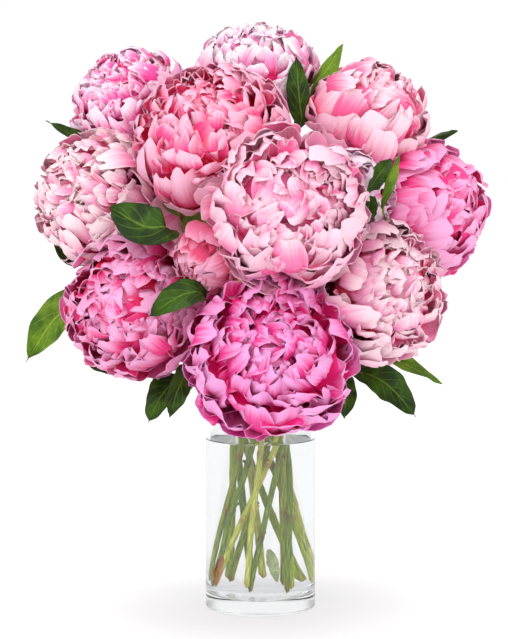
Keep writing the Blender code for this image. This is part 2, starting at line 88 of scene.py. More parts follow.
def ramp(values: np.ndarray, low: float, high: float) -> np.ndarray:
    """0 below low, 1 above high, and a smooth rise between."""
    share = np.clip((values - low) / (high - low), 0.0, 1.0)
    return share * share * (3.0 - 2.0 * share)


def even_line(points: np.ndarray, count: int, fine_steps: int = 10) -> np.ndarray:
    """A smooth line through points, read off at even steps.

    Args:
        points: The points the line passes through, one a row.
        count: How many points to give.
        fine_steps: How many steps the smooth line takes from one point to the next.

    Returns:
        The points on the line, with any further columns of points carried along.
    """
    ends = np.vstack([2 * points[0] - points[1], points, 2 * points[-1] - points[-2]])
    fine = []
    for a, b, c, d in zip(ends, ends[1:], ends[2:], ends[3:]):
        t = np.linspace(0.0, 1.0, fine_steps, endpoint=False)[:, None]
        fine.append(0.5 * (2 * b + (c - a) * t + (2 * a - 5 * b + 4 * c - d) * t**2
                           + (3 * b - a - 3 * c + d) * t**3))
    fine = np.vstack(fine + [points[-1:]])
    along = np.concatenate([[0.0], np.cumsum(np.linalg.norm(np.diff(fine[:, :3], axis=0), axis=1))])
    wanted = np.linspace(0.0, along[-1], count)
    return np.stack([np.interp(wanted, along, column) for column in fine.T], axis=1)


def welded(node: str) -> bmesh.types.BMesh:
    """A copy of a CAD node's mesh with its loose triangles joined."""
    shape = bmesh.new()
    shape.from_mesh(frame["nodes"][node].data)
    bmesh.ops.remove_doubles(shape, verts=shape.verts, dist=SAME_POINT)
    shape.verts.ensure_lookup_table()
    return shape


def rows_from(shape: bmesh.types.BMesh, start: Vector, reach: float) -> list[np.ndarray]:
    """The rows of a tube's or a strip's vertices, one after another.

    Args:
        shape: The welded mesh of the tube or strip.
        start: A point at the end where the first row lies.
        reach: How far from start the first row's vertices may be.

    Returns:
        Each row's points, from the start to the other end.
    """
    row = [v for v in shape.verts if (v.co - start).length < reach]
    seen = {v.index for v in row}
    rows = []
    while row:
        rows.append(np.array([v.co for v in row]))
        ahead = {e.other_vert(v) for v in row for e in v.link_edges}
        row = sorted((v for v in ahead if v.index not in seen), key=lambda v: v.index)
        seen |= {v.index for v in row}
    return rows


@contextmanager
def opened(mesh: bpy.types.Mesh) -> Iterator[bmesh.types.BMesh]:
    """A mesh opened for bmesh operators, and written back where the block ends."""
    shape = bmesh.new()
    shape.from_mesh(mesh)
    yield shape
    shape.to_mesh(mesh)
    shape.free()


class Sheets:
    """Many little sheets in one mesh, each a grid whose vertices are then moved into place."""

    def __init__(self, name: str, columns: int, rows: int, count: int) -> None:
        """Lays out the grids.

        Args:
            name: The mesh's name.
            columns: Faces across each sheet.
            rows: Faces along each sheet.
            count: How many sheets.
        """
        self.mesh = bpy.data.meshes.new(name)
        self.count = count
        with opened(self.mesh) as shape:
            for index in range(count):
                bmesh.ops.create_grid(shape, x_segments=columns, y_segments=rows, size=1.0,
                                      matrix=Matrix.Translation((0.0, 0.0, float(index))))
            for edge in shape.edges:
                edge.smooth = not edge.is_boundary
        laid = np.empty(len(self.mesh.vertices) * 3)
        self.mesh.vertices.foreach_get("co", laid)
        laid = laid.reshape(-1, 3)
        self.across = laid[:, 0]
        self.along = (laid[:, 1] + 1.0) / 2.0
        self.number = np.rint(laid[:, 2]).astype(int)

    def place(self, points: np.ndarray) -> None:
        """Moves the vertices to points."""
        self.mesh.vertices.foreach_set("co", np.ascontiguousarray(points, dtype=np.float32).ravel())
        self.mesh.update()

    def mark(self, **marks: np.ndarray) -> None:
        """Stores named numbers, each one a vertex, for the finish to read."""
        for name, values in marks.items():
            attribute = self.mesh.attributes.new(name, "FLOAT", "POINT")
            attribute.data.foreach_set("value", np.ascontiguousarray(values, dtype=np.float32))

    def lay_out(self) -> None:
        """Gives each sheet its own square of the piece's UV map."""
        side = math.ceil(math.sqrt(self.count))
        column, row = self.number % side, self.number // side
        used = 1.0 - 2 * UV_MARGIN
        places = np.stack([(column + UV_MARGIN + used * (self.across + 1) / 2) / side,
                           (row + UV_MARGIN + used * self.along) / side], axis=1)
        corners = np.empty(len(self.mesh.loops), dtype=np.int32)
        self.mesh.loops.foreach_get("vertex_index", corners)
        layer = self.mesh.uv_layers.new(name="OFBake")
        layer.uv.foreach_set("vector", places[corners].astype(np.float32).ravel())


def add_piece(name: str, mesh: bpy.types.Mesh, finish: bpy.types.Material,
              nodes: tuple[str, ...] = ()) -> bpy.types.Object:
    """Puts a finished mesh in the scene as a piece of the object.

    Args:
        name: The piece's name.
        mesh: Its mesh, already where it belongs.
        finish: Its material.
        nodes: The CAD nodes it stands for.

    Returns:
        The piece's object.
    """
    piece = bpy.data.objects.new(name, mesh)
    bpy.context.scene.collection.objects.link(piece)
    mesh.materials.clear()
    mesh.materials.append(finish)
    flat_faces = mesh.attributes.get("sharp_face")
    if flat_faces is not None:
        mesh.attributes.remove(flat_faces)
    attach(piece, BODY)
    if nodes:
        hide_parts(*nodes)
    LOG.info("%s: %d faces", name, len(mesh.polygons))
    return piece


def thicken(piece: bpy.types.Object, thickness: float) -> None:
    """Gives a piece made of sheets its thickness, half on each side."""
    solidify = piece.modifiers.new("thickness", "SOLIDIFY")
    solidify.thickness = thickness
    solidify.offset = 0.0
    solidify.use_even_offset = False


# Finishes


class Nodes:
    """Writes the nodes of a material or of the surround."""

    def __init__(self, tree: bpy.types.NodeTree) -> None:
        """Takes the tree to write in."""
        self.tree = tree

    def add(self, kind: str, *values: object, **settings: object) -> bpy.types.Node:
        """Adds a node of this kind with these settings, its first inputs fed with the values."""
        node = self.tree.nodes.new(kind)
        for name, value in settings.items():
            setattr(node, name, value)
        for socket, value in zip(node.inputs, values):
            self.join(value, socket)
        return node

    def join(self, source: object, target: bpy.types.NodeSocket) -> None:
        """Links an output to an input, or sets the input where source is a plain value."""
        if isinstance(source, bpy.types.NodeSocket):
            self.tree.links.new(source, target)
        else:
            target.default_value = source

    def maths(self, operation: str, *values: object) -> bpy.types.NodeSocket:
        """A Math node on these values."""
        return self.add("ShaderNodeMath", *values, operation=operation).outputs[0]

    def times(self, first: object, second: object) -> bpy.types.NodeSocket:
        """The product of two values."""
        return self.maths("MULTIPLY", first, second)

    def plus(self, first: object, second: object) -> bpy.types.NodeSocket:
        """The sum of two values."""
        return self.maths("ADD", first, second)

    def less(self, first: object, second: object) -> bpy.types.NodeSocket:
        """The first value less the second."""
        return self.maths("SUBTRACT", first, second)

    def spread(self, value: object, low: float, high: float, to_low: object, to_high: object,
               rise: str = "SMOOTHSTEP") -> bpy.types.NodeSocket:
        """A value taken from one range to another, and kept in it.

        Args:
            value: The value.
            low: Where the first range starts.
            high: Where it ends.
            to_low: What low becomes.
            to_high: What high becomes.
            rise: How the result goes from to_low to to_high.

        Returns:
            The output that carries the result.
        """
        return self.add("ShaderNodeMapRange", value, low, high, to_low, to_high,
                        interpolation_type=rise).outputs[0]


class Shade(Nodes):
    """Writes one material's nodes."""

    def __init__(self, name: str) -> None:
        """Starts a material of this name."""
        self.material = bpy.data.materials.new(name)
        self.material.use_nodes = True
        super().__init__(self.material.node_tree)
        self.shader = self.tree.nodes["Principled BSDF"]
        self.output = self.tree.nodes["Material Output"]

    def set(self, **values: object) -> None:
        """Sets the shader's own sockets, named in lower case with _ for each space."""
        for name, value in values.items():
            socket = next(s for s in self.shader.inputs if s.name.lower().replace(" ", "_") == name)
            socket.default_value = value

    def mark(self, name: str) -> bpy.types.NodeSocket:
        """A number stored a vertex on the mesh."""
        return self.add("ShaderNodeAttribute", attribute_name=name).outputs["Fac"]

    def place(self) -> bpy.types.NodeSocket:
        """Where on the object the surface is, in metres."""
        return self.add("ShaderNodeTexCoord").outputs["Object"]

    def noise(self, where: bpy.types.NodeSocket, scale: float, detail: float) -> bpy.types.NodeSocket:
        """Smooth noise from about 0.25 to 0.75."""
        node = self.add("ShaderNodeTexNoise", where)
        node.inputs["Scale"].default_value = scale
        node.inputs["Detail"].default_value = detail
        return node.outputs["Fac"]

    def grain(self, values: tuple, often: Point, detail: float) -> bpy.types.NodeSocket:
        """Noise over three values, which changes as often in each as often says."""
        parts = [self.times(value, rate) for value, rate in zip(values, often)]
        return self.noise(self.add("ShaderNodeCombineXYZ", *parts).outputs[0], 1.0, detail)

    def colours(self, value: bpy.types.NodeSocket, *stops: tuple[float, Colour]) -> bpy.types.NodeSocket:
        """A colour that changes with value through the stops."""
        node = self.add("ShaderNodeValToRGB", value)
        bar = node.color_ramp
        bar.interpolation = "EASE"
        while len(bar.elements) < len(stops):
            bar.elements.new(0.5)
        for element, (position, colour) in zip(bar.elements, stops):
            element.position = position
            element.color = linear(colour)
        return node.outputs["Color"]

    def mix(self, share: object, first: object, second: object) -> bpy.types.NodeSocket:
        """Two colours mixed."""
        node = self.add("ShaderNodeMix", data_type="RGBA")
        for socket, value in zip((node.inputs[0], node.inputs[6], node.inputs[7]), (share, first, second)):
            self.join(value, socket)
        return node.outputs[2]

    def paint(self, colour: bpy.types.NodeSocket) -> None:
        """Gives the shader this colour."""
        self.join(colour, self.shader.inputs["Base Color"])

    def bump(self, height: bpy.types.NodeSocket, distance: float, strength: float = 1.0) -> None:
        """Relief of this height on the shader."""
        node = self.add("ShaderNodeBump")
        node.inputs["Distance"].default_value = distance
        node.inputs["Strength"].default_value = strength
        self.join(height, node.inputs["Height"])
        self.join(node.outputs["Normal"], self.shader.inputs["Normal"])


@dataclass(frozen=True)
class PetalFinish:
    """Petals: deep at the foot, clear in the body and pale at the rim, with fine veins along them, and painted
    shade deep inside the head.

    Attributes:
        deep: The colour at a petal's foot, and of the painted shade deep inside the head and on the core
            petals.
        body: The colour of its middle.
        rim: The colour of its edge.
        guard: The colour that the outermost petals have in place of deep and body.
        streaks: How far streaks shift the colour between deep and rim.
        variety: How far it differs from petal to petal.
        vein_height: How high the veins stand, in metres.
    """

    deep: Colour
    body: Colour
    rim: Colour
    guard: Colour
    streaks: float = 0.34
    variety: float = 0.18
    vein_height: float = 0.0006

    def material(self, name: str) -> bpy.types.Material:
        """The material of this finish."""
        shade = Shade(name)
        along, across, tint = shade.mark("along"), shade.mark("across"), shade.mark("tint")
        rim, layer, depth = shade.mark("rim"), shade.mark("layer"), shade.mark("depth")
        streak = shade.grain((across, along, tint), (7.0, 1.3, 43.0), 3.0)
        shift = shade.times(shade.less(streak, 0.5), self.streaks)
        own = shade.times(shade.less(tint, 0.5), self.variety)
        # painted shade: points deep inside the head's outer shape are drawn towards the deep colour
        height = shade.plus(shade.times(along, 0.72), shade.spread(depth, 0.66, 1.02, 0.0, 0.30))
        height = shade.plus(shade.plus(height, shift), own)
        # painted shade: the core petals, seen only in the gaps between the others, are drawn towards the deep
        # colour
        height = shade.less(height, shade.spread(layer, 1.3, 2.0, 0.0, 0.4))
        inner = shade.colours(height, (0.36, self.deep), (0.70, self.body), (1.0, self.rim))
        outer = shade.colours(height, (0.20, self.body), (0.85, self.guard))
        petal = shade.mix(shade.spread(layer, 0.04, 0.24, 0.8, 0.0), inner, outer)
        # painted shade: the pale rim colour fades deep inside the head
        edge = shade.times(shade.spread(rim, 0.2, 1.0, 0.0, 0.55), shade.spread(depth, 0.7, 0.95, 0.3, 1.0))
        shade.paint(shade.mix(edge, petal, linear(self.rim)))
        shade.bump(shade.grain((across, along, tint), (26.0, 2.0, 91.0), 2.0), self.vein_height, 0.5)
        shade.set(roughness=0.55, specular_ior_level=0.25, sheen_weight=0.05, sheen_roughness=0.4,
                  subsurface_weight=0.3, subsurface_scale=0.0008, subsurface_radius=(1.0, 0.85, 0.9))
        return shade.material


@dataclass(frozen=True)
class LeafFinish:
    """A leaf: green with paler veins, mottled, and with its gloss varying in fine patches.

    Attributes:
        dark: The colour of its darker patches.
        light: The colour of its lighter patches.
        vein: The colour of its veins and stalk.
        pairs: How many pairs of side veins it has.
        slope: How far the side veins run forward to the margin, in gaps between them.
        vein_depth: How deep the veins lie, in metres.
    """

    dark: Colour
    light: Colour
    vein: Colour
    pairs: float = 11.0
    slope: float = 1.9
    vein_depth: float = 0.0005

    def material(self, name: str) -> bpy.types.Material:
        """The material of this finish."""
        shade = Shade(name)
        along, side = shade.mark("along"), shade.maths("ABSOLUTE", shade.mark("across"))
        broad = shade.noise(shade.place(), 55.0, 3.0)
        fine = shade.noise(shade.place(), 420.0, 2.0)
        green = shade.colours(shade.spread(broad, 0.3, 0.7, 0.0, 1.0), (0.0, self.dark), (1.0, self.light))
        rib = shade.spread(side, 0.0, 0.10, 1.0, 0.0)
        slant = shade.less(shade.times(along, self.pairs), shade.times(side, self.slope))
        wave = shade.maths("ABSOLUTE", shade.less(shade.maths("FRACT", slant), 0.5))
        side_vein = shade.times(shade.spread(wave, 0.0, 0.12, 1.0, 0.0),
                                shade.spread(side, 0.55, 1.0, 1.0, 0.2))
        veins = shade.maths("MAXIMUM", rib, shade.times(side_vein, 0.45))
        colour = shade.mix(shade.times(veins, 0.7), green, linear(self.vein))
        colour = shade.mix(shade.spread(fine, 0.35, 0.65, 0.0, 0.25), colour, linear(self.dark))
        shade.paint(shade.mix(shade.times(shade.mark("stalk"), 0.6), colour, linear(self.vein)))
        shade.bump(shade.less(shade.times(fine, 0.35), shade.times(veins, 0.8)), self.vein_depth, 0.8)
        shade.join(shade.spread(fine, 0.3, 0.7, 0.42, 0.6), shade.shader.inputs["Roughness"])
        shade.set(specular_ior_level=0.22, subsurface_weight=0.08, subsurface_scale=0.002,
                  subsurface_radius=(0.4, 1.0, 0.2))
        return shade.material


@dataclass(frozen=True)
class StemFinish:
    """A stem: green ribs with paler streaks, partly painted shade and highlight, browned at nodes and cut end,
    darker sepals.

    Attributes:
        green: The colour of the stem and its darker streaks, partly painted shade.
        pale: The colour of its streaks, partly painted highlight.
        brown: The colour of its nodes and its cut end.
        sepal: The colour of the sepals at its top.
        rib_height: How high its ribs stand, in metres.
    """

    green: Colour
    pale: Colour
    brown: Colour
    sepal: Colour = (0.24, 0.36, 0.06)
    rib_height: float = 0.0008

    def material(self, name: str) -> bpy.types.Material:
        """The material of this finish."""
        shade = Shade(name)
        ribs = shade.grain((shade.mark("across"), shade.mark("along"), 1.0), (6.0, 10.0, 3.0), 3.0)
        patch = shade.noise(shade.place(), 70.0, 3.0)
        # painted shade and highlight: the stem's own streaks, drawn with extra contrast in place of its shaded
        # sides and highlights
        colour = shade.colours(shade.spread(ribs, 0.3, 0.7, 0.0, 1.0), (0.0, self.green), (1.0, self.pale))
        colour = shade.mix(shade.spread(patch, 0.45, 0.75, 0.0, 0.5), colour, linear(self.green))
        blush = shade.times(shade.mark("node"), shade.spread(patch, 0.35, 0.6, 0.35, 1.0))
        colour = shade.mix(blush, colour, linear(self.brown))
        shade.paint(shade.mix(shade.times(shade.mark("leafy"), 0.8), colour, linear(self.sepal)))
        shade.bump(ribs, self.rib_height, 0.6)
        shade.set(roughness=0.42, specular_ior_level=0.4)
        return shade.material


@dataclass(frozen=True)
class ClearFinish:
    """A clear solid or liquid that bends light, and lets light through to what stands in it.

    Attributes:
        tint: The colour that light takes on at each surface.
        ior: How strongly it bends light.
        unevenness: How far its surface wavers, in metres.
    """

    tint: Colour
    ior: float
    unevenness: float = 0.0002

    def material(self, name: str) -> bpy.types.Material:
        """The material of this finish."""
        shade = Shade(name)
        shade.set(base_color=linear(self.tint), roughness=0.0, ior=self.ior, transmission_weight=1.0)
        shade.bump(shade.noise(shade.place(), 14.0, 2.0), self.unevenness, 0.12)
        through = shade.add("ShaderNodeBsdfTransparent", linear(self.tint))
        shadow = shade.add("ShaderNodeLightPath").outputs["Is Shadow Ray"]
        choice = shade.add("ShaderNodeMixShader", shadow, shade.shader.outputs["BSDF"], through.outputs["BSDF"])
        shade.join(choice.outputs["Shader"], shade.output.inputs["Surface"])
        return shade.material


# Flower heads


@dataclass(frozen=True)
class Group:
    """Petals that grow alike, round one pole of the head or round several.

    A pole is a point on the head that petals close over. Each pair goes from the outermost petal of a pole to
    its innermost. Angles are degrees from the pole, widths are shares of the head's radius and reaches are
    shares of how far the head's outer shape reaches.

    Attributes:
        count: How many petals, round each pole.
        tips: The angles their rims lie at.
        widths: How wide they are.
        reaches: How far out their rims lie.
        foot_angle: The angle their feet lie at.
        foot_reach: How far out their feet lie.
        poles: How many poles.
        tilt: How far the poles lie from the head's own, in degrees.
        cup: How hollow they are across.
        ruffle: How wavy their rims are.
        lip: How far their rims turn outwards.
        layers: Where they stand between the outside, 0, and the heart, 1, or 2 for the core.
        even: Whether they stand evenly round the pole.
    """

    count: int
    tips: tuple[float, float]
    widths: tuple[float, float]
    reaches: tuple[float, float]
    foot_angle: float = 165.0
    foot_reach: float = 0.90
    poles: int = 1
    tilt: float = 0.0
    cup: float = 0.85
    ruffle: float = 1.0
    lip: float = 0.06
    layers: tuple[float, float] = (0.3, 1.0)
    even: bool = False

    def grow(self, draw: np.random.Generator, index: int) -> dict[str, np.ndarray]:
        """Draws the place and shape of each petal round one pole.

        Args:
            draw: Where the irregularities come from.
            index: Which of the group's poles.

        Returns:
            One array a measure, with one row a petal.
        """
        count, order = self.count, np.arange(self.count)
        share = order / max(count - 1, 1)
        tilt = math.radians(self.tilt) * draw.uniform(0.85, 1.15)
        # The tilt also turns the poles, so that two groups' poles don't lie in line
        round_axis = index * math.tau / self.poles + draw.uniform(-0.3, 0.3) + self.tilt
        pole = np.array([math.sin(tilt) * math.cos(round_axis), math.sin(tilt) * math.sin(round_axis),
                         math.cos(tilt)])
        first = unit(np.cross(LEAD, pole))
        step = math.tau / count if self.even else GOLDEN_ANGLE
        slack = draw.uniform(-6.0, 8.0) if self.poles > 1 else 0.0
        return {
            "first": np.tile(first, (count, 1)),
            "second": np.tile(np.cross(pole, first), (count, 1)),
            "pole": np.tile(pole, (count, 1)),
            "turn": draw.uniform(0.0, math.tau) + order * step + draw.normal(0.0, 0.16, count),
            "tip": np.radians(self.tips[0] + (self.tips[1] + slack - self.tips[0]) * share**0.85)
            + draw.normal(0.0, 0.09, count),
            "foot": np.full(count, math.radians(self.foot_angle)),
            "foot_reach": np.full(count, self.foot_reach),
            "width": self.between(self.widths, share) * draw.uniform(0.78, 1.22, count),
            "reach": self.between(self.reaches, share) * draw.uniform(0.92, 1.08, count),
            "cup": self.cup * draw.uniform(0.6, 1.3, count),
            "lip": self.lip + draw.normal(0.0, 0.03, count) + 0.11 * draw.random(count) ** 4,
            "lean": draw.normal(0.0, 0.22, count),
            "skew": draw.normal(0.0, 0.10, count),
            "ruffle": self.ruffle * draw.uniform(0.5, 1.5, count),
            "waves": draw.uniform(2.5, 5.0, count) + 3.0 * self.between(self.widths, share),
            "phase": draw.uniform(0.0, math.tau, count),
            "other": draw.uniform(0.0, math.tau, count),
            "notch": draw.uniform(-0.5, 0.5, count),
            "notch_depth": draw.uniform(0.0, 0.09, count) * (draw.random(count) < 0.6),
            "point": draw.uniform(1.9, 2.6, count),
            "tint": draw.random(count),
            "layer": self.between(self.layers, share),
        }

    def between(self, pair: tuple[float, float], share: np.ndarray) -> np.ndarray:
        """From the pair's first value to its second as share goes from 0 to 1."""
        return pair[0] + (pair[1] - pair[0]) * share


def guards(count: int, angle: float, width: float, reach: float = 1.02, lip: float = 0.10) -> Group:
    """The broad petals round the outside of a head."""
    return Group(count, (angle, angle - 12), (width, width * 0.9), (reach, reach - 0.04), cup=0.50, ruffle=1.5,
                 lip=lip, layers=(0.0, 0.1), even=True)


def strays(count: int, angle: float = 86.0) -> Group:
    """Loose petals that stand out of a head and break its outline."""
    return Group(count, (angle, angle - 50), (0.66, 0.48), (1.14, 1.08), angle + 14.0, 0.84, ruffle=1.6,
                 lip=0.12, layers=(0.25, 0.5))


def folds(count: int, spread: float, heart: float, width: float, tilt: float, poles: int = 1) -> Group:
    """The many petals that stand upright inside a head, so that only their ruffled rims show.

    Args:
        count: How many petals, for each pole.
        spread: How far from the pole the outermost reach, in degrees.
        heart: How far from the pole the innermost reach.
        width: The outermost petals' width.
        tilt: How far the poles lie from the head's own.
        poles: How many poles.

    Returns:
        The group.
    """
    return Group(count, (spread, heart), (width, width * 0.55), (1.06, 0.95), spread + 14.0, 0.45, poles, tilt,
                 0.8, 2.0, 0.03, (0.25, 0.8))


def core() -> Group:
    """The petals that close the inside of a head, behind all others."""
    return Group(12, (4.0, -24.0), (1.3, 1.0), (0.84, 0.76), foot_reach=0.5, ruffle=1.0, lip=0.0,
                 layers=(1.9, 1.9))


class Form(Enum):
    """The kinds of head in the bunch, each as its groups of petals."""

    GLOBE = (
        core(), guards(9, 92.0, 1.15, 1.02, 0.10), strays(7),
        Group(22, (84.0, 40.0), (1.10, 0.90), (0.99, 0.99), cup=1.0, ruffle=0.9, lip=0.03, layers=(0.1, 0.5)),
        Group(12, (46.0, -8.0), (0.86, 0.42), (1.04, 0.88), 105.0, 0.78, 3, 28.0, 1.1, 1.0, 0.05, (0.4, 1.0)),
        folds(10, 36.0, 0.0, 0.46, 20.0, 2),
    )
    ROSE = (
        core(), guards(11, 108.0, 1.05), strays(11, 94.0),
        Group(30, (98.0, 58.0), (0.92, 0.70), (0.99, 0.99), ruffle=1.5, lip=0.10, layers=(0.1, 0.4)),
        folds(56, 74.0, 20.0, 0.72, 8.0), folds(12, 34.0, -6.0, 0.50, 15.0, 3),
    )
    BOMB = (
        core(), guards(11, 106.0, 1.00), strays(12, 92.0),
        Group(26, (96.0, 66.0), (0.80, 0.62), (0.99, 0.99), ruffle=1.5, lip=0.10, layers=(0.05, 0.35)),
        folds(52, 84.0, 44.0, 0.58, 8.0), folds(14, 42.0, -4.0, 0.50, 28.0, 5),
    )
    CUP = (
        core(), guards(10, 104.0, 1.10), strays(9, 88.0),
        Group(28, (94.0, 48.0), (1.00, 0.74), (0.99, 0.99), cup=0.9, ruffle=1.3, lip=0.08, layers=(0.05, 0.4)),
        Group(10, (44.0, -4.0), (0.78, 0.34), (1.06, 0.88), 92.0, 0.78, 3, 44.0, 1.1, 1.2, 0.05, (0.2, 0.9)),
        folds(40, 66.0, 26.0, 0.62, 12.0), folds(9, 32.0, -4.0, 0.50, 20.0, 3),
    )
    BUD = (
        core(), guards(6, 70.0, 1.20, 1.04, 0.12), strays(5, 70.0),
        Group(12, (60.0, 10.0), (1.05, 0.75), (1.02, 0.96), cup=1.0, ruffle=1.0, lip=0.05, layers=(0.1, 0.6)),
        folds(10, 40.0, 0.0, 0.50, 14.0, 2),
    )


@dataclass
class FlowerHead:
    """One double flower head, built petal by petal inside the outer shape of its solid.

    Attributes:
        name: The end of its node's name.
        form: Its kind.
        finish: Its petals' colours.
        slot: The record's slot of its petals; not used.
        seed: Where its irregularities start from.
        petal_columns: Faces across a petal.
        petal_rows: Faces along a petal.
        petal_thickness: A petal's thickness in metres.
        proud: How far a petal may stand out of the solid, as a share of its reach.
        notch_width: Width of the notch in a petal's rim, as a share of half the petal.
        frill: How far the rim goes in and out, as a share of the petal's length.
        fine_frill: How far its finer steps go in and out.
        shoulder: How much shorter a petal is at its sides than in its middle.
        broadest: Where along it a petal is at its broadest.
        wave: How far the rim waves, as a share of the head's radius.
        crimp: How far the rim's finer waves go.
        crease: How deep the creases along a petal are, as a share of the head's radius.
        centre: The head's middle.
        axes: The ways across the head and the way it faces.
        radius: The head's radius.
        reaches: How far the solid reaches from its middle, in rings from its face.
    """

    name: str
    form: Form
    finish: PetalFinish
    slot: str
    seed: int
    petal_columns: int = 16
    petal_rows: int = 9
    petal_thickness: float = 0.00035
    proud: float = 0.19
    notch_width: float = 0.20
    frill: float = 0.020
    fine_frill: float = 0.007
    shoulder: float = 0.35
    broadest: float = 0.66
    wave: float = 0.042
    crimp: float = 0.009
    crease: float = 0.008
    centre: np.ndarray = field(init=False)
    axes: np.ndarray = field(init=False)
    radius: float = field(init=False)
    reaches: np.ndarray = field(init=False)

    def __post_init__(self) -> None:
        """Reads the head's middle, the way it faces and its outer shape off its solid."""
        shape = welded("head_" + self.name)
        points = np.array([v.co for v in shape.verts])
        self.centre = (points.min(0) + points.max(0)) / 2 * 0.5 + points.mean(0) * 0.5
        stem = np.array([v.co for v in frame["nodes"]["stem_" + self.name].data.vertices])
        top = stem[np.argsort(np.linalg.norm(stem - self.centre, axis=1))[:9]].mean(0)
        facing = unit(self.centre - top)
        across = unit(np.cross((0.0, 0.0, 1.0), facing))
        self.axes = np.array([across, np.cross(facing, across), facing])
        self.measure(BVHTree.FromBMesh(shape))
        shape.free()

    def measure(self, tree: BVHTree, rings: int = 33, turns: int = 72) -> None:
        """Finds how far the solid reaches from its middle each way, ring by ring from its face.

        Args:
            tree: The solid's faces.
            rings: How many rings, from the face to the back.
            turns: How many steps round each ring.
        """
        angle = np.linspace(0.0, math.pi, rings)[:, None]
        turn = np.linspace(0.0, math.tau, turns + 1)[None, :]
        ways = np.stack([np.sin(angle) * np.cos(turn), np.sin(angle) * np.sin(turn),
                         np.cos(angle) * np.ones_like(turn)], axis=-1) @ self.axes
        self.reaches = np.empty(ways.shape[:2])
        for place in np.ndindex(self.reaches.shape):
            hit = tree.ray_cast(Vector(self.centre), Vector(ways[place]))
            self.reaches[place] = hit[3]
        self.radius = float(np.quantile(self.reaches[rings // 2], 0.75))

    def reach(self, local: np.ndarray) -> np.ndarray:
        """How far the solid reaches each way.

        Args:
            local: Unit directions on the head's own axes.

        Returns:
            A distance for each direction.
        """
        rings, turns = self.reaches.shape[0] - 1, self.reaches.shape[1] - 1
        ring = np.arccos(np.clip(local[..., 2], -1, 1)) / math.pi * rings
        turn = np.arctan2(local[..., 1], local[..., 0]) % math.tau / math.tau * turns
        low_ring, low_turn = np.minimum(ring.astype(int), rings - 1), np.minimum(turn.astype(int), turns - 1)
        up, over = ring - low_ring, turn - low_turn
        grid = self.reaches
        near = grid[low_ring, low_turn] * (1 - over) + grid[low_ring, low_turn + 1] * over
        far = grid[low_ring + 1, low_turn] * (1 - over) + grid[low_ring + 1, low_turn + 1] * over
        return near * (1 - up) + far * up

    def growth(self) -> dict[str, np.ndarray]:
        """The measures of all the head's petals, one row a petal."""
        draw = np.random.default_rng(self.seed)
        grown = [group.grow(draw, index) for group in self.form.value for index in range(group.poles)]
        return {name: np.concatenate([part[name] for part in grown]) for name in grown[0]}

    def rib(self, grown: dict[str, np.ndarray], along: np.ndarray) -> tuple[np.ndarray, np.ndarray]:
        """Points on the petals' middle lines and the ways across them, on the head's own axes.

        Args:
            grown: The measures of each point's petal.
            along: How far along its petal each point is, from 0 at the foot to 1 at the rim.

        Returns:
            The points, and the unit ways across the petals at them.
        """
        angle = grown["foot"] + (grown["tip"] - grown["foot"]) * along
        turn = grown["turn"] + grown["lean"] * along**2
        ahead, aside = np.cos(turn)[:, None], np.sin(turn)[:, None]
        out = ahead * grown["first"] + aside * grown["second"]
        way = np.sin(angle)[:, None] * out + np.cos(angle)[:, None] * grown["pole"]
        side = ahead * grown["second"] - aside * grown["first"]
        rise = ramp(along, 0.0, 0.78) ** 0.7
        scale = grown["foot_reach"] + (grown["reach"] - grown["foot_reach"]) * rise
        return way * (self.reach(way) * scale)[:, None], side

    def shape_petals(self, sheets: Sheets) -> None:
        """Bends every sheet into its petal and marks it for the finish."""
        grown = {name: values[sheets.number] for name, values in self.growth().items()}
        across, down = np.sin(sheets.across * math.pi / 2), sheets.along
        along = (1.0 - (1.0 - down) ** 1.2) * self.outline(grown, across)
        middle, side = self.rib(grown, along)
        ahead = unit(self.rib(grown, along + 0.01)[0] - self.rib(grown, along - 0.01)[0])
        inward = unit(np.cross(ahead, side))
        past = np.clip((along - self.broadest) / (1.0 - self.broadest), 0, 1)
        swell = 0.16 + 0.84 * np.sin(math.pi / 2 * np.clip(along / self.broadest, 0, 1)) ** 1.2
        swell = swell * (1.0 - 0.10 * past**2.2)
        half = grown["width"] * self.radius / 2
        bend = half / grown["cup"]
        angle = across * half * swell / bend * (0.75 + 0.25 * ramp(along, 0.2, 0.9))
        rise = bend * (1 - np.cos(angle)) + self.lift(grown, across, down, along) * self.radius
        points = self.held(middle + side * (bend * np.sin(angle))[:, None] + inward * rise[:, None])
        sheets.place(points @ self.axes + self.centre)
        tip_edge, side_edge = ramp(down, 0.72, 1.0), ramp(np.abs(across), 0.8, 1.0) * ramp(down, 0.3, 0.7)
        # depth: how far inside the head's outer shape each point lies, which the finish uses to paint shade
        sheets.mark(depth=np.linalg.norm(points, axis=1) / self.reach(unit(points)), along=along, across=across,
                    tint=grown["tint"], rim=np.maximum(tip_edge, 0.6 * side_edge), layer=grown["layer"])

    def outline(self, grown: dict[str, np.ndarray], across: np.ndarray) -> np.ndarray:
        """How long the petals are on the lines across them, as a share of their middle's length.

        Args:
            grown: The measures of each point's petal.
            across: Where across its petal each point is, from -1 to 1.

        Returns:
            A share for each point.
        """
        notch = grown["notch_depth"] * np.exp(-(((across - grown["notch"]) / self.notch_width) ** 2))
        frill = self.frill * np.sin(6.0 * across + 3 * grown["phase"])
        frill = frill + self.fine_frill * np.sin(13.0 * across + grown["other"])
        shoulder = self.shoulder * (1.0 - np.sqrt(1.0 - np.abs(across) ** grown["point"] * 0.99))
        return 1.0 - shoulder - notch + frill * grown["ruffle"]

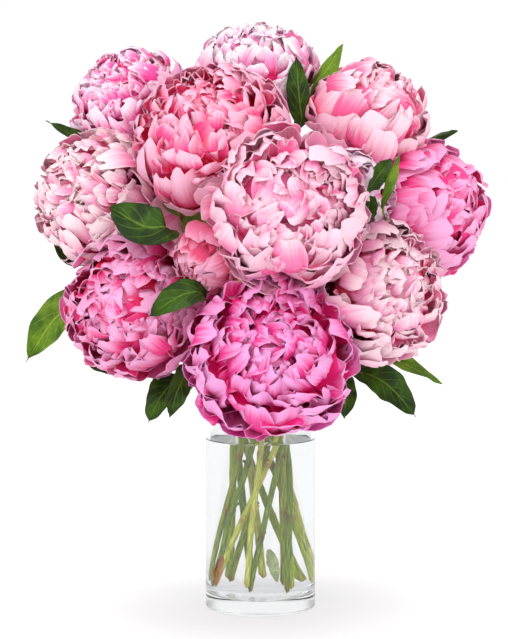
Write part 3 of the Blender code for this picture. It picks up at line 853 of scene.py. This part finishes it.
    def lift(self, grown: dict[str, np.ndarray], across: np.ndarray, down: np.ndarray,
             along: np.ndarray) -> np.ndarray:
        """How far inwards the petals' surfaces stand from a plain cup, as a share of the head's radius.

        Args:
            grown: The measures of each point's petal.
            across: Where across its petal each point is, from -1 to 1.
            down: How far along its sheet each point is, from 0 at the foot to 1 at the rim.
            along: How far along its petal each point is.

        Returns:
            A share for each point.
        """
        edge = ramp(down, 0.40, 1.0) + 0.5 * ramp(np.abs(across), 0.6, 1.0) * ramp(down, 0.2, 0.6)
        wave = np.sin(grown["waves"] * across + grown["phase"])
        wave = wave + 0.35 * np.sin(2.1 * grown["waves"] * across + grown["other"])
        lift = wave * edge * grown["ruffle"] * self.wave * (0.5 + 0.5 * grown["width"])
        crimp = self.crimp * grown["ruffle"] * np.sin(12.0 * across + 2 * grown["other"]) * ramp(down, 0.7, 1.0)
        crease = self.crease * np.sin(9.0 * across + grown["other"]) * ramp(along, 0.15, 0.6)
        return lift + crimp + crease + grown["skew"] * across * along - grown["lip"] * ramp(along, 0.60, 1.05)

    def held(self, points: np.ndarray) -> np.ndarray:
        """The points, drawn in where they stand further out than the head's outer shape allows."""
        distance = np.linalg.norm(points, axis=-1)
        way = unit(points)
        most = self.reach(way) * (1.0 + self.proud)
        share = distance / most
        free = 0.92
        soft = free + (1.0 - free) * np.tanh((share - free) / (1.0 - free))
        return way * (np.where(share > free, soft, share) * most)[..., None]

    def build(self) -> bpy.types.Object:
        """Models and finishes the head's petals as one piece."""
        name = "bloom_" + self.name
        petals = sum(group.count * group.poles for group in self.form.value)
        sheets = Sheets(name, self.petal_columns, self.petal_rows, petals)
        self.shape_petals(sheets)
        sheets.lay_out()
        piece = add_piece(name, sheets.mesh, self.finish.material("petals_" + self.name),
                          ("head_" + self.name,))
        thicken(piece, self.petal_thickness)
        return piece


# Stems


KINK_SEED = 50  # added to a stem's seed where its kinks are drawn


@dataclass
class Stem:
    """One stem with its nodes, slanting cut and the green sepals that hug the head.

    Attributes:
        name: The end of its node's name.
        head: The head it bears.
        finish: Its material.
        seed: Where its irregularities start from.
        sides: Faces round it.
        rings: Faces along it.
        sepals: How many sepals it has.
        sway: How far its nodes lie off a smooth line, in metres.
        nodes: How many nodes are drawn, enough for the longest stem.
        node_gaps: The shortest and the longest stretch between nodes.
        node_length: Half the length of a node's swelling.
        node_swell: How much thicker it is at a node, as a share.
        cut_length: How far it is browned above its cut end.
        slant: How steeply it is cut, in metres along for each metre across.
        stub_lengths: The shortest and the longest stub of a leaf stalk.
        stub_radius: A stub's radius.
        sepal_thickness: The sepals' thickness.
        line: Its middle line and radius, from foot to head.
    """

    name: str
    head: FlowerHead
    finish: bpy.types.Material
    seed: int
    sides: int = 12
    rings: int = 110
    sepals: int = 5
    sway: float = 0.0007
    nodes: int = 12
    node_gaps: tuple[float, float] = (0.045, 0.075)
    node_length: float = 0.0035
    node_swell: float = 0.22
    cut_length: float = 0.012
    slant: float = 0.9
    stub_lengths: tuple[float, float] = (0.0032, 0.0062)
    stub_radius: float = 0.0011
    sepal_thickness: float = 0.0007
    line: np.ndarray = field(init=False)

    def __post_init__(self) -> None:
        """Reads the stem's line and thickness off its solid."""
        shape = welded("stem_" + self.name)
        foot = min(shape.verts, key=lambda v: v.co.z)
        rows = rows_from(shape, foot.co, reach=0.008)
        shape.free()
        centres = np.array([row.mean(0) for row in rows])
        radii = np.array([np.linalg.norm(row - row.mean(0), axis=1).mean() for row in rows])
        radii[:-1] = np.minimum(radii[:-1], 1.1 * np.median(radii))
        self.line = even_line(np.column_stack([centres, radii]), self.rings + 1)
        self.kink()

    def kink(self, knots: int = 8) -> None:
        """Sets the stem a little off its line, knot by knot, as stems grow."""
        draw = np.random.default_rng(self.seed + KINK_SEED)
        share = np.linspace(0.0, 1.0, self.rings + 1)
        steady = np.minimum(1.0, 12.0 * np.minimum(share + 0.02, 1.0 - share))
        for axis in range(2):
            offsets = draw.normal(0.0, self.sway, knots)
            self.line[:, axis] += np.interp(share, np.linspace(0.0, 1.0, knots), offsets) * steady

    def build(self) -> bpy.types.Object:
        """Models and finishes the stem as one piece."""
        draw = np.random.default_rng(self.seed)
        length = np.linalg.norm(np.diff(self.line[:, :3], axis=0), axis=1).sum()
        joints = np.cumsum(draw.uniform(*self.node_gaps, self.nodes))
        ahead = unit(np.gradient(self.line[:, :3], axis=0))
        name = "stalk_" + self.name
        mesh = self.tube(name, draw, length, joints, ahead)
        with opened(mesh) as shape:
            bmesh.ops.remove_doubles(shape, verts=shape.verts, dist=1e-5)
            shape.from_mesh(self.calyx(draw))
            shape.from_mesh(self.stubs(draw, joints[joints < 0.8 * length] / length, ahead))
            bmesh.ops.recalc_face_normals(shape, faces=shape.faces)
        return add_piece(name, mesh, self.finish, ("stem_" + self.name,))

    def tube(self, name: str, draw: np.random.Generator, length: float, joints: np.ndarray,
             ahead: np.ndarray) -> bpy.types.Mesh:
        """The stem itself: a ribbed tube, thicker at its nodes and cut on the slant at its foot.

        Args:
            name: The mesh's name.
            draw: Where the irregularities come from.
            length: The stem's length.
            joints: How far along the stem each node is, in metres.
            ahead: The stem's direction at each of its rings.

        Returns:
            The closed tube.
        """
        tube = Sheets(name, self.sides, self.rings, 1)
        row = np.rint(tube.along * self.rings).astype(int)
        points, radius = self.line[row, :3], self.line[row, 3]
        lead = unit(np.cross(ahead, LEAD))
        lead, cross = lead[row], np.cross(ahead, lead)[row]
        turn = tube.across * math.pi
        height = tube.along * length
        node = sum(np.exp(-(((height - joint) / self.node_length) ** 2)) for joint in joints)
        node = np.clip(node, 0, 1) * (0.6 + 0.4 * np.cos(turn + 5 * draw.random()))
        cut = ramp(-height, -self.cut_length, 0.0)
        rib = 1.0 + 0.035 * np.cos(5 * turn) + self.node_swell * node + 0.03 * np.sin(height * 260)
        closed = np.where((row == 0) | (row == self.rings), 0.02, 1.0)
        radius = radius * rib * closed * 0.98
        fall = np.where(row < 3, (np.cos(turn) * self.slant) * radius * (3 - row) / 3 * (row > 0), 0.0)
        placed = points + lead * (np.cos(turn) * radius)[:, None] + cross * (np.sin(turn) * radius)[:, None]
        tube.place(placed + ahead[row] * fall[:, None])
        tube.mark(along=height / 0.1, across=np.cos(turn), node=np.clip(node + 0.8 * cut, 0, 1),
                  leafy=np.zeros(len(turn)))
        return tube.mesh

    def stubs(self, draw: np.random.Generator, joints: np.ndarray, ahead: np.ndarray) -> bpy.types.Mesh:
        """The cut ends of leaf stalks that stand off the stem at its nodes.

        Args:
            draw: Where the irregularities come from.
            joints: How far along the stem each node is, as a share of its length.
            ahead: The stem's direction at each of its rings.

        Returns:
            The stubs as closed little tubes.
        """
        tube = Sheets("stubs", columns=8, rows=6, count=len(joints))
        ring = np.rint(joints * self.rings).astype(int)
        way = ahead[ring]
        side = unit(np.cross(way, draw.normal(0.0, 1.0, way.shape)))
        grow = unit(side + way * draw.uniform(0.5, 1.4, len(ring))[:, None])
        cross = unit(np.cross(grow, way))
        lead = np.cross(cross, grow)
        span = draw.uniform(*self.stub_lengths, len(ring))
        own, turn = tube.number, tube.across * math.pi
        closed = np.where((tube.along < 0.01) | (tube.along > 0.99), 0.02, 1.0)
        radius = self.stub_radius * (1.25 - 0.35 * tube.along) * closed
        stands = (0.001 + span[own] * np.clip(tube.along * 1.2, 0.0, 1.0))[:, None]
        points = self.line[ring[own], :3] + grow[own] * stands
        aside = lead[own] * np.cos(turn)[:, None] + cross[own] * np.sin(turn)[:, None]
        tube.place(points + aside * radius[:, None])
        tube.mark(along=tube.along * 0.1, across=np.cos(turn), node=ramp(tube.along, 0.3, 0.95),
                  leafy=np.zeros(len(turn)))
        with opened(tube.mesh) as shape:
            bmesh.ops.remove_doubles(shape, verts=shape.verts, dist=4e-5)
        return tube.mesh

    def calyx(self, draw: np.random.Generator) -> bpy.types.Mesh:
        """The sepals that spread from the stem's top over the back of the head, as closed sheets."""
        sheets = Sheets("sepals", columns=6, rows=8, count=self.sepals)
        spots = np.arange(self.sepals) * math.tau / self.sepals + draw.normal(0, 0.12, self.sepals)
        length = draw.uniform(0.55, 1.0, self.sepals)[sheets.number]
        angle = math.pi - sheets.along * length * 0.95
        half = 0.30 * np.sin(math.pi * np.clip(sheets.along * 0.86 + 0.14, 0, 1)) ** 0.8
        turn = spots[sheets.number] + sheets.across * half / np.maximum(np.sin(angle), 0.32)
        way = np.stack([np.sin(angle) * np.cos(turn), np.sin(angle) * np.sin(turn), np.cos(angle)], axis=-1)
        reach = self.head.reach(way) * (1.035 + 0.02 * sheets.along) + 0.0006
        sheets.place(way * reach[:, None] @ self.head.axes + self.head.centre)
        sheets.mark(along=sheets.along * 0.3, across=sheets.across,
                    node=0.4 * ramp(np.abs(sheets.across), 0.5, 1.0), leafy=np.ones(len(turn)))
        with opened(sheets.mesh) as shape:
            bmesh.ops.recalc_face_normals(shape, faces=shape.faces)
            bmesh.ops.solidify(shape, geom=shape.faces[:], thickness=self.sepal_thickness)
        return sheets.mesh


# Leaves


@dataclass
class Blade:
    """A leaf's sheet, with a rounded stalk, a keel, waves and quilting between its veins.

    Attributes:
        name: The piece's name.
        finish: Its material.
        slot: The record's slot it takes its finish from; not used.
        seed: Where its irregularities start from.
        columns: Faces across it.
        rows: Faces along it.
        thickness: Its thickness in metres.
        stalk_half: Half the width up to which it is rolled into a stalk.
        fold: How far its halves rise from the midrib, as a share of their width.
        wave: How far its margin waves, as a share of half its width.
        quilt: How high it swells between its side veins, in metres.
        groove: How deep its midrib lies, in metres.
    """

    name: str
    finish: bpy.types.Material
    slot: str
    seed: int
    columns: int = 12
    rows: int = 44
    thickness: float = 0.00045
    stalk_half: float = 0.0016
    fold: float = 0.26
    wave: float = 0.16
    quilt: float = 0.00035
    groove: float = 0.0006

    def stations(self) -> np.ndarray:
        """Each row's middle point, way across and half width, from the stem to the tip."""
        raise NotImplementedError

    def stands_for(self) -> tuple[str, ...]:
        """The CAD nodes this blade stands for."""
        return ()

    def build(self) -> bpy.types.Object:
        """Models and finishes the blade as one piece."""
        draw = np.random.default_rng(self.seed)
        line = even_line(self.stations(), self.rows + 1)
        sheet = Sheets(self.name, self.columns, self.rows, 1)
        row = np.rint(sheet.along * self.rows).astype(int)
        middle, side, half = line[:, :3], unit(line[:, 3:6]), line[:, 6]
        ahead = unit(np.gradient(middle, axis=0))
        side = unit(side - ahead * (side * ahead).sum(1, keepdims=True))
        upward = np.cross(side, ahead)
        if upward[len(upward) // 2] @ (middle[len(middle) // 2] * (1, 1, 0) + (0, 0, 0.1)) < 0:
            upward, side = -upward, -side
        across, along = sheet.across, sheet.along
        widths = half[row]
        blade = ramp(widths, self.stalk_half, 0.0045)
        curl = (1.0 - ramp(widths, self.stalk_half, 0.0030)) * (1.0 - ramp(along, 0.5, 0.6))
        phase = draw.uniform(0, math.tau, 3)
        margin = 1.0 + blade * (0.05 * np.sin(along * 23 + phase[0]) + 0.03 * np.sin(along * 51 + phase[1]))
        turn = across * math.pi * 0.9
        out = widths * (across * margin * (1.0 - curl) + np.sin(turn) * curl)
        keel = blade * widths * self.fold * np.abs(across) ** 1.2
        wave = blade * widths * self.wave * across**2 * np.sin(along * 17 + phase[2] + np.sign(across))
        quilt = blade * self.quilt * np.sin(along * 44 * math.pi / 2 - np.abs(across) * 4.0) * (1 - across**2)
        groove = blade * self.groove * np.exp(-((across / 0.12) ** 2))
        lift = keel + wave + quilt - groove - curl * widths * np.cos(turn)
        sheet.place(middle[row] + side[row] * out[:, None] + upward[row] * lift[:, None])
        sheet.mark(along=along, across=across, stalk=curl)
        sheet.lay_out()
        piece = add_piece(self.name, sheet.mesh, self.finish, self.stands_for())
        thicken(piece, self.thickness)
        return piece


@dataclass
class Leaf(Blade):
    """One leaf, remodelled along the line of its solid.

    Attributes:
        node: Its node's name.
        stems: All the stems, one of which bears it.
    """

    node: str = ""
    stems: list[Stem] = field(default_factory=list)

    def stands_for(self) -> tuple[str, ...]:
        """The leaf's own node."""
        return (self.node,)

    def stations(self) -> np.ndarray:
        """The solid's rows as middle point, way across and half width, from the stem to the tip."""
        shape = welded(self.node)
        points = np.array([v.co for v in shape.verts])
        lines = np.vstack([stem.line[:, :3] for stem in self.stems])
        gaps = np.linalg.norm(points[:, None] - lines[None, ::3], axis=2).min(1)
        rows = rows_from(shape, Vector(points[np.argmin(gaps)]), reach=0.0036)
        shape.free()
        found, way = [], None
        for row in rows:
            middle = row.mean(0)
            across = np.linalg.svd(row - middle)[2][0]
            way = across if way is None or across @ way > 0 else -across
            found.append([*middle, *way, np.abs((row - middle) @ way).max()])
        return np.array(found)


@dataclass
class Scrap(Blade):
    """A loose leaf, scale or sliver, along a few points of its own.

    Attributes:
        points: Its middle line in metres, from foot to tip.
        way: The way across it.
        half: Half its width at the widest.
        least_half: Half its width at its ends.
    """

    points: tuple[Point, ...] = ()
    way: Point = (1.0, 0.0, 0.0)
    half: float = 0.003
    least_half: float = 0.0003

    def stations(self) -> np.ndarray:
        """Rows along the points, widest about their middle."""
        count = 9
        line = even_line(np.array(self.points), count)
        share = np.linspace(0.0, 1.0, count)[:, None]
        widths = self.half * np.sin(math.pi * np.clip(0.08 + 0.90 * share, 0.0, 1.0)) ** 0.8
        return np.hstack([line, np.tile(unit(self.way), (count, 1)), np.maximum(widths, self.least_half)])


# Vase and water


@dataclass
class Vase:
    """The glass cylinder and the water in it.

    Attributes:
        glass: The glass's material.
        liquid: The water's material.
        wall: Thickness of the glass.
        floor: Thickness of its foot.
        heel: Radius round the outer edge of the foot.
        corner: Radius round the inner floor.
        rim: Radius on the rim's edges.
        sides: Steps round the axis.
        meniscus: How far the water climbs the glass.
        climb: How far from the glass it starts to climb.
        lap: How far the water reaches into the glass, so that no air shows between them.
        tread: The outer and inner edge of the ring it stands on, as shares of its radius.
        hollow: How far the middle of its underside stands off the floor.
    """

    glass: bpy.types.Material
    liquid: bpy.types.Material
    wall: float = 0.0038
    floor: float = 0.013
    heel: float = 0.0026
    corner: float = 0.008
    rim: float = 0.0015
    sides: int = 128
    meniscus: float = 0.0016
    climb: float = 0.0055
    lap: float = 0.00012
    tread: tuple[float, float] = (0.80, 0.74)
    hollow: float = 0.0010

    def arc(self, x: float, z: float, radius: float, start: float, end: float, steps: int) -> list[tuple]:
        """Points on an arc of the profile, from start to end in degrees."""
        turns = np.radians(np.linspace(start, end, steps + 1))
        return [(x + radius * math.cos(a), z + radius * math.sin(a)) for a in turns]

    def turned(self, name: str, profile: list[tuple]) -> bpy.types.Mesh:
        """The profile spun round the vase's axis into a closed mesh.

        Args:
            name: The mesh's name.
            profile: Distances from the axis and heights, from the axis back to the axis.

        Returns:
            The mesh, smooth but for its corners.
        """
        mesh = bpy.data.meshes.new(name)
        with opened(mesh) as shape:
            points = [shape.verts.new((x, 0.0, z)) for x, z in self.supported(profile)]
            edges = [shape.edges.new(pair) for pair in zip(points, points[1:])]
            bmesh.ops.spin(shape, geom=points + edges, cent=(0, 0, 0), axis=(0, 0, 1), angle=math.tau,
                           steps=self.sides, use_merge=True)
            bmesh.ops.remove_doubles(shape, verts=shape.verts, dist=1e-6)
            bmesh.ops.recalc_face_normals(shape, faces=shape.faces)
        mesh.set_sharp_from_angle(angle=math.radians(50.0))
        return mesh

    def supported(self, profile: list[tuple], span: float = 0.0003) -> list[tuple]:
        """The profile with more points on its long lines, so that their faces shade true.

        Args:
            profile: Distances from the axis and heights.
            span: How far from each end of a long line a point is added.

        Returns:
            The profile with the points added.
        """
        made = [profile[0]]
        for start, end in zip(profile, profile[1:]):
            length = math.dist(start, end)
            if length > 8 * span:
                for share in (span / length, 1.0 - span / length):
                    made.append(tuple(a + (b - a) * share for a, b in zip(start, end)))
            made.append(end)
        return made

    def build(self) -> None:
        """Models and finishes the glass and the water."""
        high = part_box("vase")[1]
        inner = high.x - self.wall
        glass = self.turned("glass_cylinder", self.glass_profile(high.x, inner, high.z - self.rim))
        add_piece("glass_cylinder", glass, self.glass, ("vase",))
        water = self.turned("water_fill", self.water_profile(inner + self.lap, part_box("water")[1].z))
        add_piece("water_fill", water, self.liquid, ("water",))

    def glass_profile(self, radius: float, inner: float, top: float) -> list[tuple]:
        """The glass from the middle of its floor up the inside, over the rim and down the outside.

        Args:
            radius: The outer radius.
            inner: The inner radius.
            top: The height at which the rim starts to round over.

        Returns:
            Distances from the axis and heights.
        """
        profile = [(0.0, self.floor)]
        profile += self.arc(inner - self.corner, self.floor + self.corner, self.corner, -90, 0, 8)
        profile += self.arc(inner + self.rim, top, self.rim, 180, 90, 5)
        profile += self.arc(radius - self.rim, top, self.rim, 90, 0, 5)
        profile += self.arc(radius - self.heel, self.heel, self.heel, 0, -90, 6)
        outer, inner = (radius * share for share in self.tread)
        return profile + [(outer, 0.0), (inner, 0.6 * self.hollow), (0.0, self.hollow)]

    def water_profile(self, reach: float, level: float) -> list[tuple]:
        """The water from the middle of its surface out to the glass and down to the floor.

        Args:
            reach: The water's radius.
            level: The height of its surface.

        Returns:
            Distances from the axis and heights.
        """
        floor, corner = self.floor - self.lap, self.corner + self.lap
        climb = [(reach - self.climb * (1 - t), level + self.meniscus * t**3) for t in np.linspace(0, 1, 7)]
        profile = [(0.0, level), (reach * 0.5, level)] + climb
        profile += self.arc(reach - corner, floor + corner, corner, 0, -90, 8)
        return profile + [(0.0, floor)]


# Stage


@dataclass(frozen=True)
class Softbox:
    """One square light.

    Attributes:
        name: Its name.
        place: Where it stands.
        side: Its side in metres.
        power: Its power in watts.
    """

    name: str
    place: Point
    side: float
    power: float

    def build(self, target: Point) -> None:
        """Adds the light, pointing at target."""
        lamp = bpy.data.lights.new(self.name, "AREA")
        lamp.shape = "SQUARE"
        lamp.size = self.side
        lamp.energy = self.power
        holder = bpy.data.objects.new(self.name, lamp)
        holder.location = self.place
        away = Vector(self.place) - Vector(target)
        holder.rotation_euler = away.to_track_quat("Z", "Y").to_euler()
        bpy.context.scene.collection.objects.link(holder)


LIGHTS = (
    Softbox("key_light", (-1.4, -2.0, 2.0), 1.8, 36.0),
    Softbox("fill_light", (1.6, -2.2, 0.9), 2.0, 20.0),
    Softbox("top_light", (0.2, 0.6, 2.4), 1.8, 11.0),
)


@dataclass(frozen=True)
class Stage:
    """The pale floor, the soft light and the camera.

    Attributes:
        camera_place: Where the camera stands.
        camera_tilt: How far it looks up, in degrees.
        lens: Its focal length in millimetres.
        floor_side: The floor's side in metres.
        floor_shade: How much light the floor gives back.
        painted_shadow_glow: The floor's own light under the vase, lower than glow_far as a painted shadow.
        glow_far: The floor's own light away from it.
        glow_reach: The distances from the vase between which that light grows, across the painted shadow.
        backdrop: The white that the camera sees behind the object.
        behind_light: The surround's light from behind the object.
        side_light: The share of it that comes from the sides.
        front_light: The surround's light from in front.
        target: What the lights point at.
    """

    camera_place: Point = (-0.0059, -1.73, 0.396)
    camera_tilt: float = -4.44
    lens: float = 108.3
    floor_side: float = 60.0
    floor_shade: float = 0.35
    painted_shadow_glow: float = 0.56
    glow_far: float = 0.78
    glow_reach: tuple[float, float] = (0.05, 0.24)
    backdrop: float = 1.02
    behind_light: float = 1.0
    side_light: float = 0.54
    front_light: float = 0.80
    target: Point = (0.0, 0.0, 0.30)

    def build(self) -> None:
        """Sets up everything that isn't the object."""
        self.build_floor()
        self.build_world()
        for light in LIGHTS:
            light.build(self.target)
        self.build_camera()

    def build_floor(self) -> None:
        """A wide pale floor, a little darker under the vase as a painted shadow, where its own light is lower.
        """
        mesh = bpy.data.meshes.new("floor")
        with opened(mesh) as shape:
            bmesh.ops.create_grid(shape, x_segments=1, y_segments=1, size=self.floor_side / 2)
        shade = Shade("pale_floor")
        shade.set(base_color=(*[self.floor_shade] * 3, 1.0), roughness=0.8, specular_ior_level=0.0,
                  emission_color=(1.0, 1.0, 1.0, 1.0))
        away = shade.add("ShaderNodeVectorMath", shade.place(), operation="LENGTH").outputs["Value"]
        # painted shadow: the floor's own light is lower near the vase
        glow = shade.spread(away, *self.glow_reach, self.painted_shadow_glow, self.glow_far)
        shade.join(glow, shade.shader.inputs["Emission Strength"])
        mesh.materials.append(shade.material)
        floor = bpy.data.objects.new("floor", mesh)
        bpy.context.scene.collection.objects.link(floor)

    def build_world(self) -> None:
        """A white surround, dimmer to the sides and in front, so that clear glass shows its edges."""
        world = bpy.data.worlds.new("surround")
        world.use_nodes = True
        sky = Nodes(world.node_tree)
        back = sky.tree.nodes["Background"]
        back.inputs["Color"].default_value = (1.0, 1.0, 1.0, 1.0)
        way = sky.add("ShaderNodeSeparateXYZ", sky.add("ShaderNodeTexCoord").outputs["Generated"])
        depth = sky.spread(way.outputs["Y"], -0.3, 0.9, self.front_light, self.behind_light, "LINEAR")
        aside = sky.spread(sky.maths("ABSOLUTE", way.outputs["X"]), 0.55, 0.85, 1.0, self.side_light)
        seen = sky.add("ShaderNodeLightPath").outputs["Is Camera Ray"]
        strength = sky.spread(seen, 0.0, 1.0, sky.times(depth, aside), self.backdrop, "LINEAR")
        sky.join(strength, back.inputs["Strength"])
        bpy.context.scene.world = world
        bpy.context.scene.view_settings.view_transform = "Standard"

    def build_camera(self) -> None:
        """The camera, level with the bunch and tilted down a little."""
        camera = bpy.data.cameras.new("camera")
        camera.lens = self.lens
        holder = bpy.data.objects.new("camera", camera)
        holder.location = self.camera_place
        holder.rotation_euler = (math.radians(90.0 + self.camera_tilt), 0.0, 0.0)
        bpy.context.scene.collection.objects.link(holder)
        bpy.context.scene.camera = holder


# The bunch


TOP = PetalFinish((0.98, 0.24, 0.55), (0.98, 0.62, 0.81), (0.98, 0.94, 0.96), (0.98, 0.82, 0.92))
UPPER_LEFT = PetalFinish((0.98, 0.11, 0.42), (0.98, 0.33, 0.66), (0.98, 0.87, 0.94), (0.98, 0.55, 0.81))
UPPER_CENTRE = PetalFinish((0.98, 0.09, 0.35), (0.98, 0.29, 0.55), (0.98, 0.74, 0.83), (0.98, 0.45, 0.69))
UPPER_RIGHT = PetalFinish((0.86, 0.12, 0.33), (0.94, 0.39, 0.60), (0.98, 0.83, 0.88), (0.96, 0.62, 0.77))
LEFT = PetalFinish((0.98, 0.29, 0.49), (0.98, 0.60, 0.76), (0.98, 0.87, 0.89), (0.98, 0.75, 0.86))
RIGHT = PetalFinish((0.94, 0.09, 0.41), (0.94, 0.23, 0.54), (0.97, 0.68, 0.85), (0.95, 0.39, 0.71))
CENTRE = PetalFinish((0.98, 0.32, 0.60), (0.98, 0.53, 0.72), (0.98, 0.81, 0.87), (0.98, 0.69, 0.83))
INNER_RIGHT = PetalFinish((0.98, 0.35, 0.55), (0.98, 0.69, 0.87), (0.98, 0.91, 0.95), (0.98, 0.83, 0.93))
# LOWER_LEFT and LOWER_CENTRE sit under other heads: their lower red is partly their own colour and partly
# painted shade
LOWER_LEFT = PetalFinish((0.88, 0.04, 0.28), (0.91, 0.21, 0.51), (0.95, 0.67, 0.83), (0.93, 0.38, 0.69))
LOWER_CENTRE = PetalFinish((0.98, 0.09, 0.52), (0.92, 0.18, 0.55), (0.95, 0.65, 0.86), (0.93, 0.38, 0.76))
LOWER_RIGHT = PetalFinish((0.98, 0.28, 0.48), (0.98, 0.61, 0.77), (0.98, 0.84, 0.88), (0.98, 0.74, 0.85))
HALF_OPEN = PetalFinish((0.64, 0.09, 0.22), (0.86, 0.27, 0.44), (0.92, 0.67, 0.77), (0.89, 0.42, 0.58))

# Flower heads: name, form, finish, slot and seed
HEADS = (
    ("top", Form.BOMB, TOP, "petals_pale", 11),
    ("upper_left", Form.BOMB, UPPER_LEFT, "petals_mid", 12),
    ("upper_centre", Form.ROSE, UPPER_CENTRE, "petals_mid", 13),
    ("upper_right", Form.GLOBE, UPPER_RIGHT, "petals_soft", 14),
    ("left", Form.BOMB, LEFT, "petals_pale", 15),
    ("right", Form.GLOBE, RIGHT, "petals_mid", 16),
    ("centre", Form.CUP, CENTRE, "petals_soft", 17),
    ("inner_right", Form.CUP, INNER_RIGHT, "petals_soft", 18),
    ("lower_left", Form.CUP, LOWER_LEFT, "petals_mid", 19),
    ("lower_centre", Form.ROSE, LOWER_CENTRE, "petals_deep", 20),
    ("lower_right", Form.ROSE, LOWER_RIGHT, "petals_pale", 21),
    ("half_open", Form.BUD, HALF_OPEN, "petals_soft", 22),
    ("back_left", Form.ROSE, CENTRE, "petals_soft", 23),
    ("back_right", Form.CUP, UPPER_CENTRE, "petals_mid", 24),
    ("back_low", Form.BOMB, LEFT, "petals_pale", 25),
)

DARK_LEAF = LeafFinish((0.09, 0.18, 0.01), (0.21, 0.34, 0.02), (0.44, 0.56, 0.16))
LIGHT_LEAF = LeafFinish((0.22, 0.36, 0.02), (0.42, 0.56, 0.09), (0.62, 0.72, 0.28))
STEM_GREENS = {
    "stem_fresh": StemFinish((0.44, 0.58, 0.01), (0.82, 0.88, 0.12), (0.60, 0.30, 0.04)),
    "stem_green": StemFinish((0.24, 0.38, 0.01), (0.58, 0.70, 0.04), (0.44, 0.22, 0.04)),
    "stem_pale": StemFinish((0.60, 0.66, 0.06), (0.95, 0.95, 0.46), (0.66, 0.40, 0.08)),
    "stem_olive": StemFinish((0.34, 0.46, 0.01), (0.70, 0.74, 0.07), (0.56, 0.30, 0.06)),
}
VASE_GLASS = ClearFinish((0.955, 0.958, 0.962), 1.43)
VASE_WATER = ClearFinish((0.995, 0.995, 0.995), 1.33)

SCRAP_FINISHES = {
    "scale_brown": LeafFinish((0.50, 0.27, 0.10), (0.80, 0.56, 0.28), (0.90, 0.76, 0.46)),
    "leaf_sunken": LeafFinish((0.58, 0.64, 0.42), (0.78, 0.83, 0.62), (0.90, 0.93, 0.78)),
}

# Loose pieces: name, finish, slot, middle line, way across and half width
SCRAPS = (
    ("scale_low_left", "scale_brown", "leaves_light",
     ((-0.0320, -0.028, 0.0520), (-0.0375, -0.027, 0.0380), (-0.0385, -0.026, 0.0230)),
     (0.95, 0.3, 0.1), 0.0052),
    ("leaf_sunken", "leaf_sunken", "leaves_light",
     ((0.0060, -0.012, 0.0560), (0.0100, -0.017, 0.0420), (0.0125, -0.019, 0.0270)),
     (0.95, -0.2, 0.2), 0.0046),
    ("foliage_right_behind", "leaves_dark", "leaves_dark",
     ((0.0873, -0.098, 0.3734), (0.0939, -0.100, 0.3836), (0.1018, -0.095, 0.3945), (0.1110, -0.085, 0.4056)),
     (0.7, 0.5, 0.5), 0.0080),
    ("foliage_right_gap", "leaves_dark", "leaves_dark",
     ((0.0943, -0.094, 0.3742), (0.0906, -0.101, 0.3625), (0.0857, -0.099, 0.3489)), (1.0, 0.1, 0.1), 0.0075),
)


# What the seeds of the other pieces start from
STEM_SEED = 100
LEAF_SEED = 300
SCRAP_SEED = 400


def main() -> None:
    """Builds every piece of the object and the stage it stands on."""
    logging.basicConfig(level=logging.INFO, format="%(name)s %(message)s")
    heads = [FlowerHead(*row) for row in HEADS]
    stem_finishes = [finish.material(name) for name, finish in STEM_GREENS.items()]
    stems = [Stem(head.name, head, stem_finishes[number % len(stem_finishes)], STEM_SEED + head.seed)
             for number, head in enumerate(heads)]
    for part in heads + stems:
        part.build()
    leaf_finishes = {"leaves_dark": DARK_LEAF.material("leaf_dark"),
                     "leaves_light": LIGHT_LEAF.material("leaf_light")}
    slots = {row["node"]: row["material_slot"] for row in frame["record"]["subparts"]}
    nodes = sorted(name for name in frame["nodes"] if name.startswith("leaf_"))
    for number, node in enumerate(nodes):
        Leaf(node.replace("leaf", "foliage"), leaf_finishes[slots[node]], slots[node], LEAF_SEED + number,
             node=node, stems=stems).build()
    for number, (name, kind, slot, points, way, half) in enumerate(SCRAPS):
        finish = leaf_finishes.get(kind) or SCRAP_FINISHES[kind].material(kind)
        Scrap(name, finish, slot, SCRAP_SEED + number, stalk_half=0.0,
              points=points, way=way, half=half).build()
    Vase(VASE_GLASS.material("clear_glass"), VASE_WATER.material("clear_water")).build()
    Stage().build()


if __name__ == "__main__":
    main()
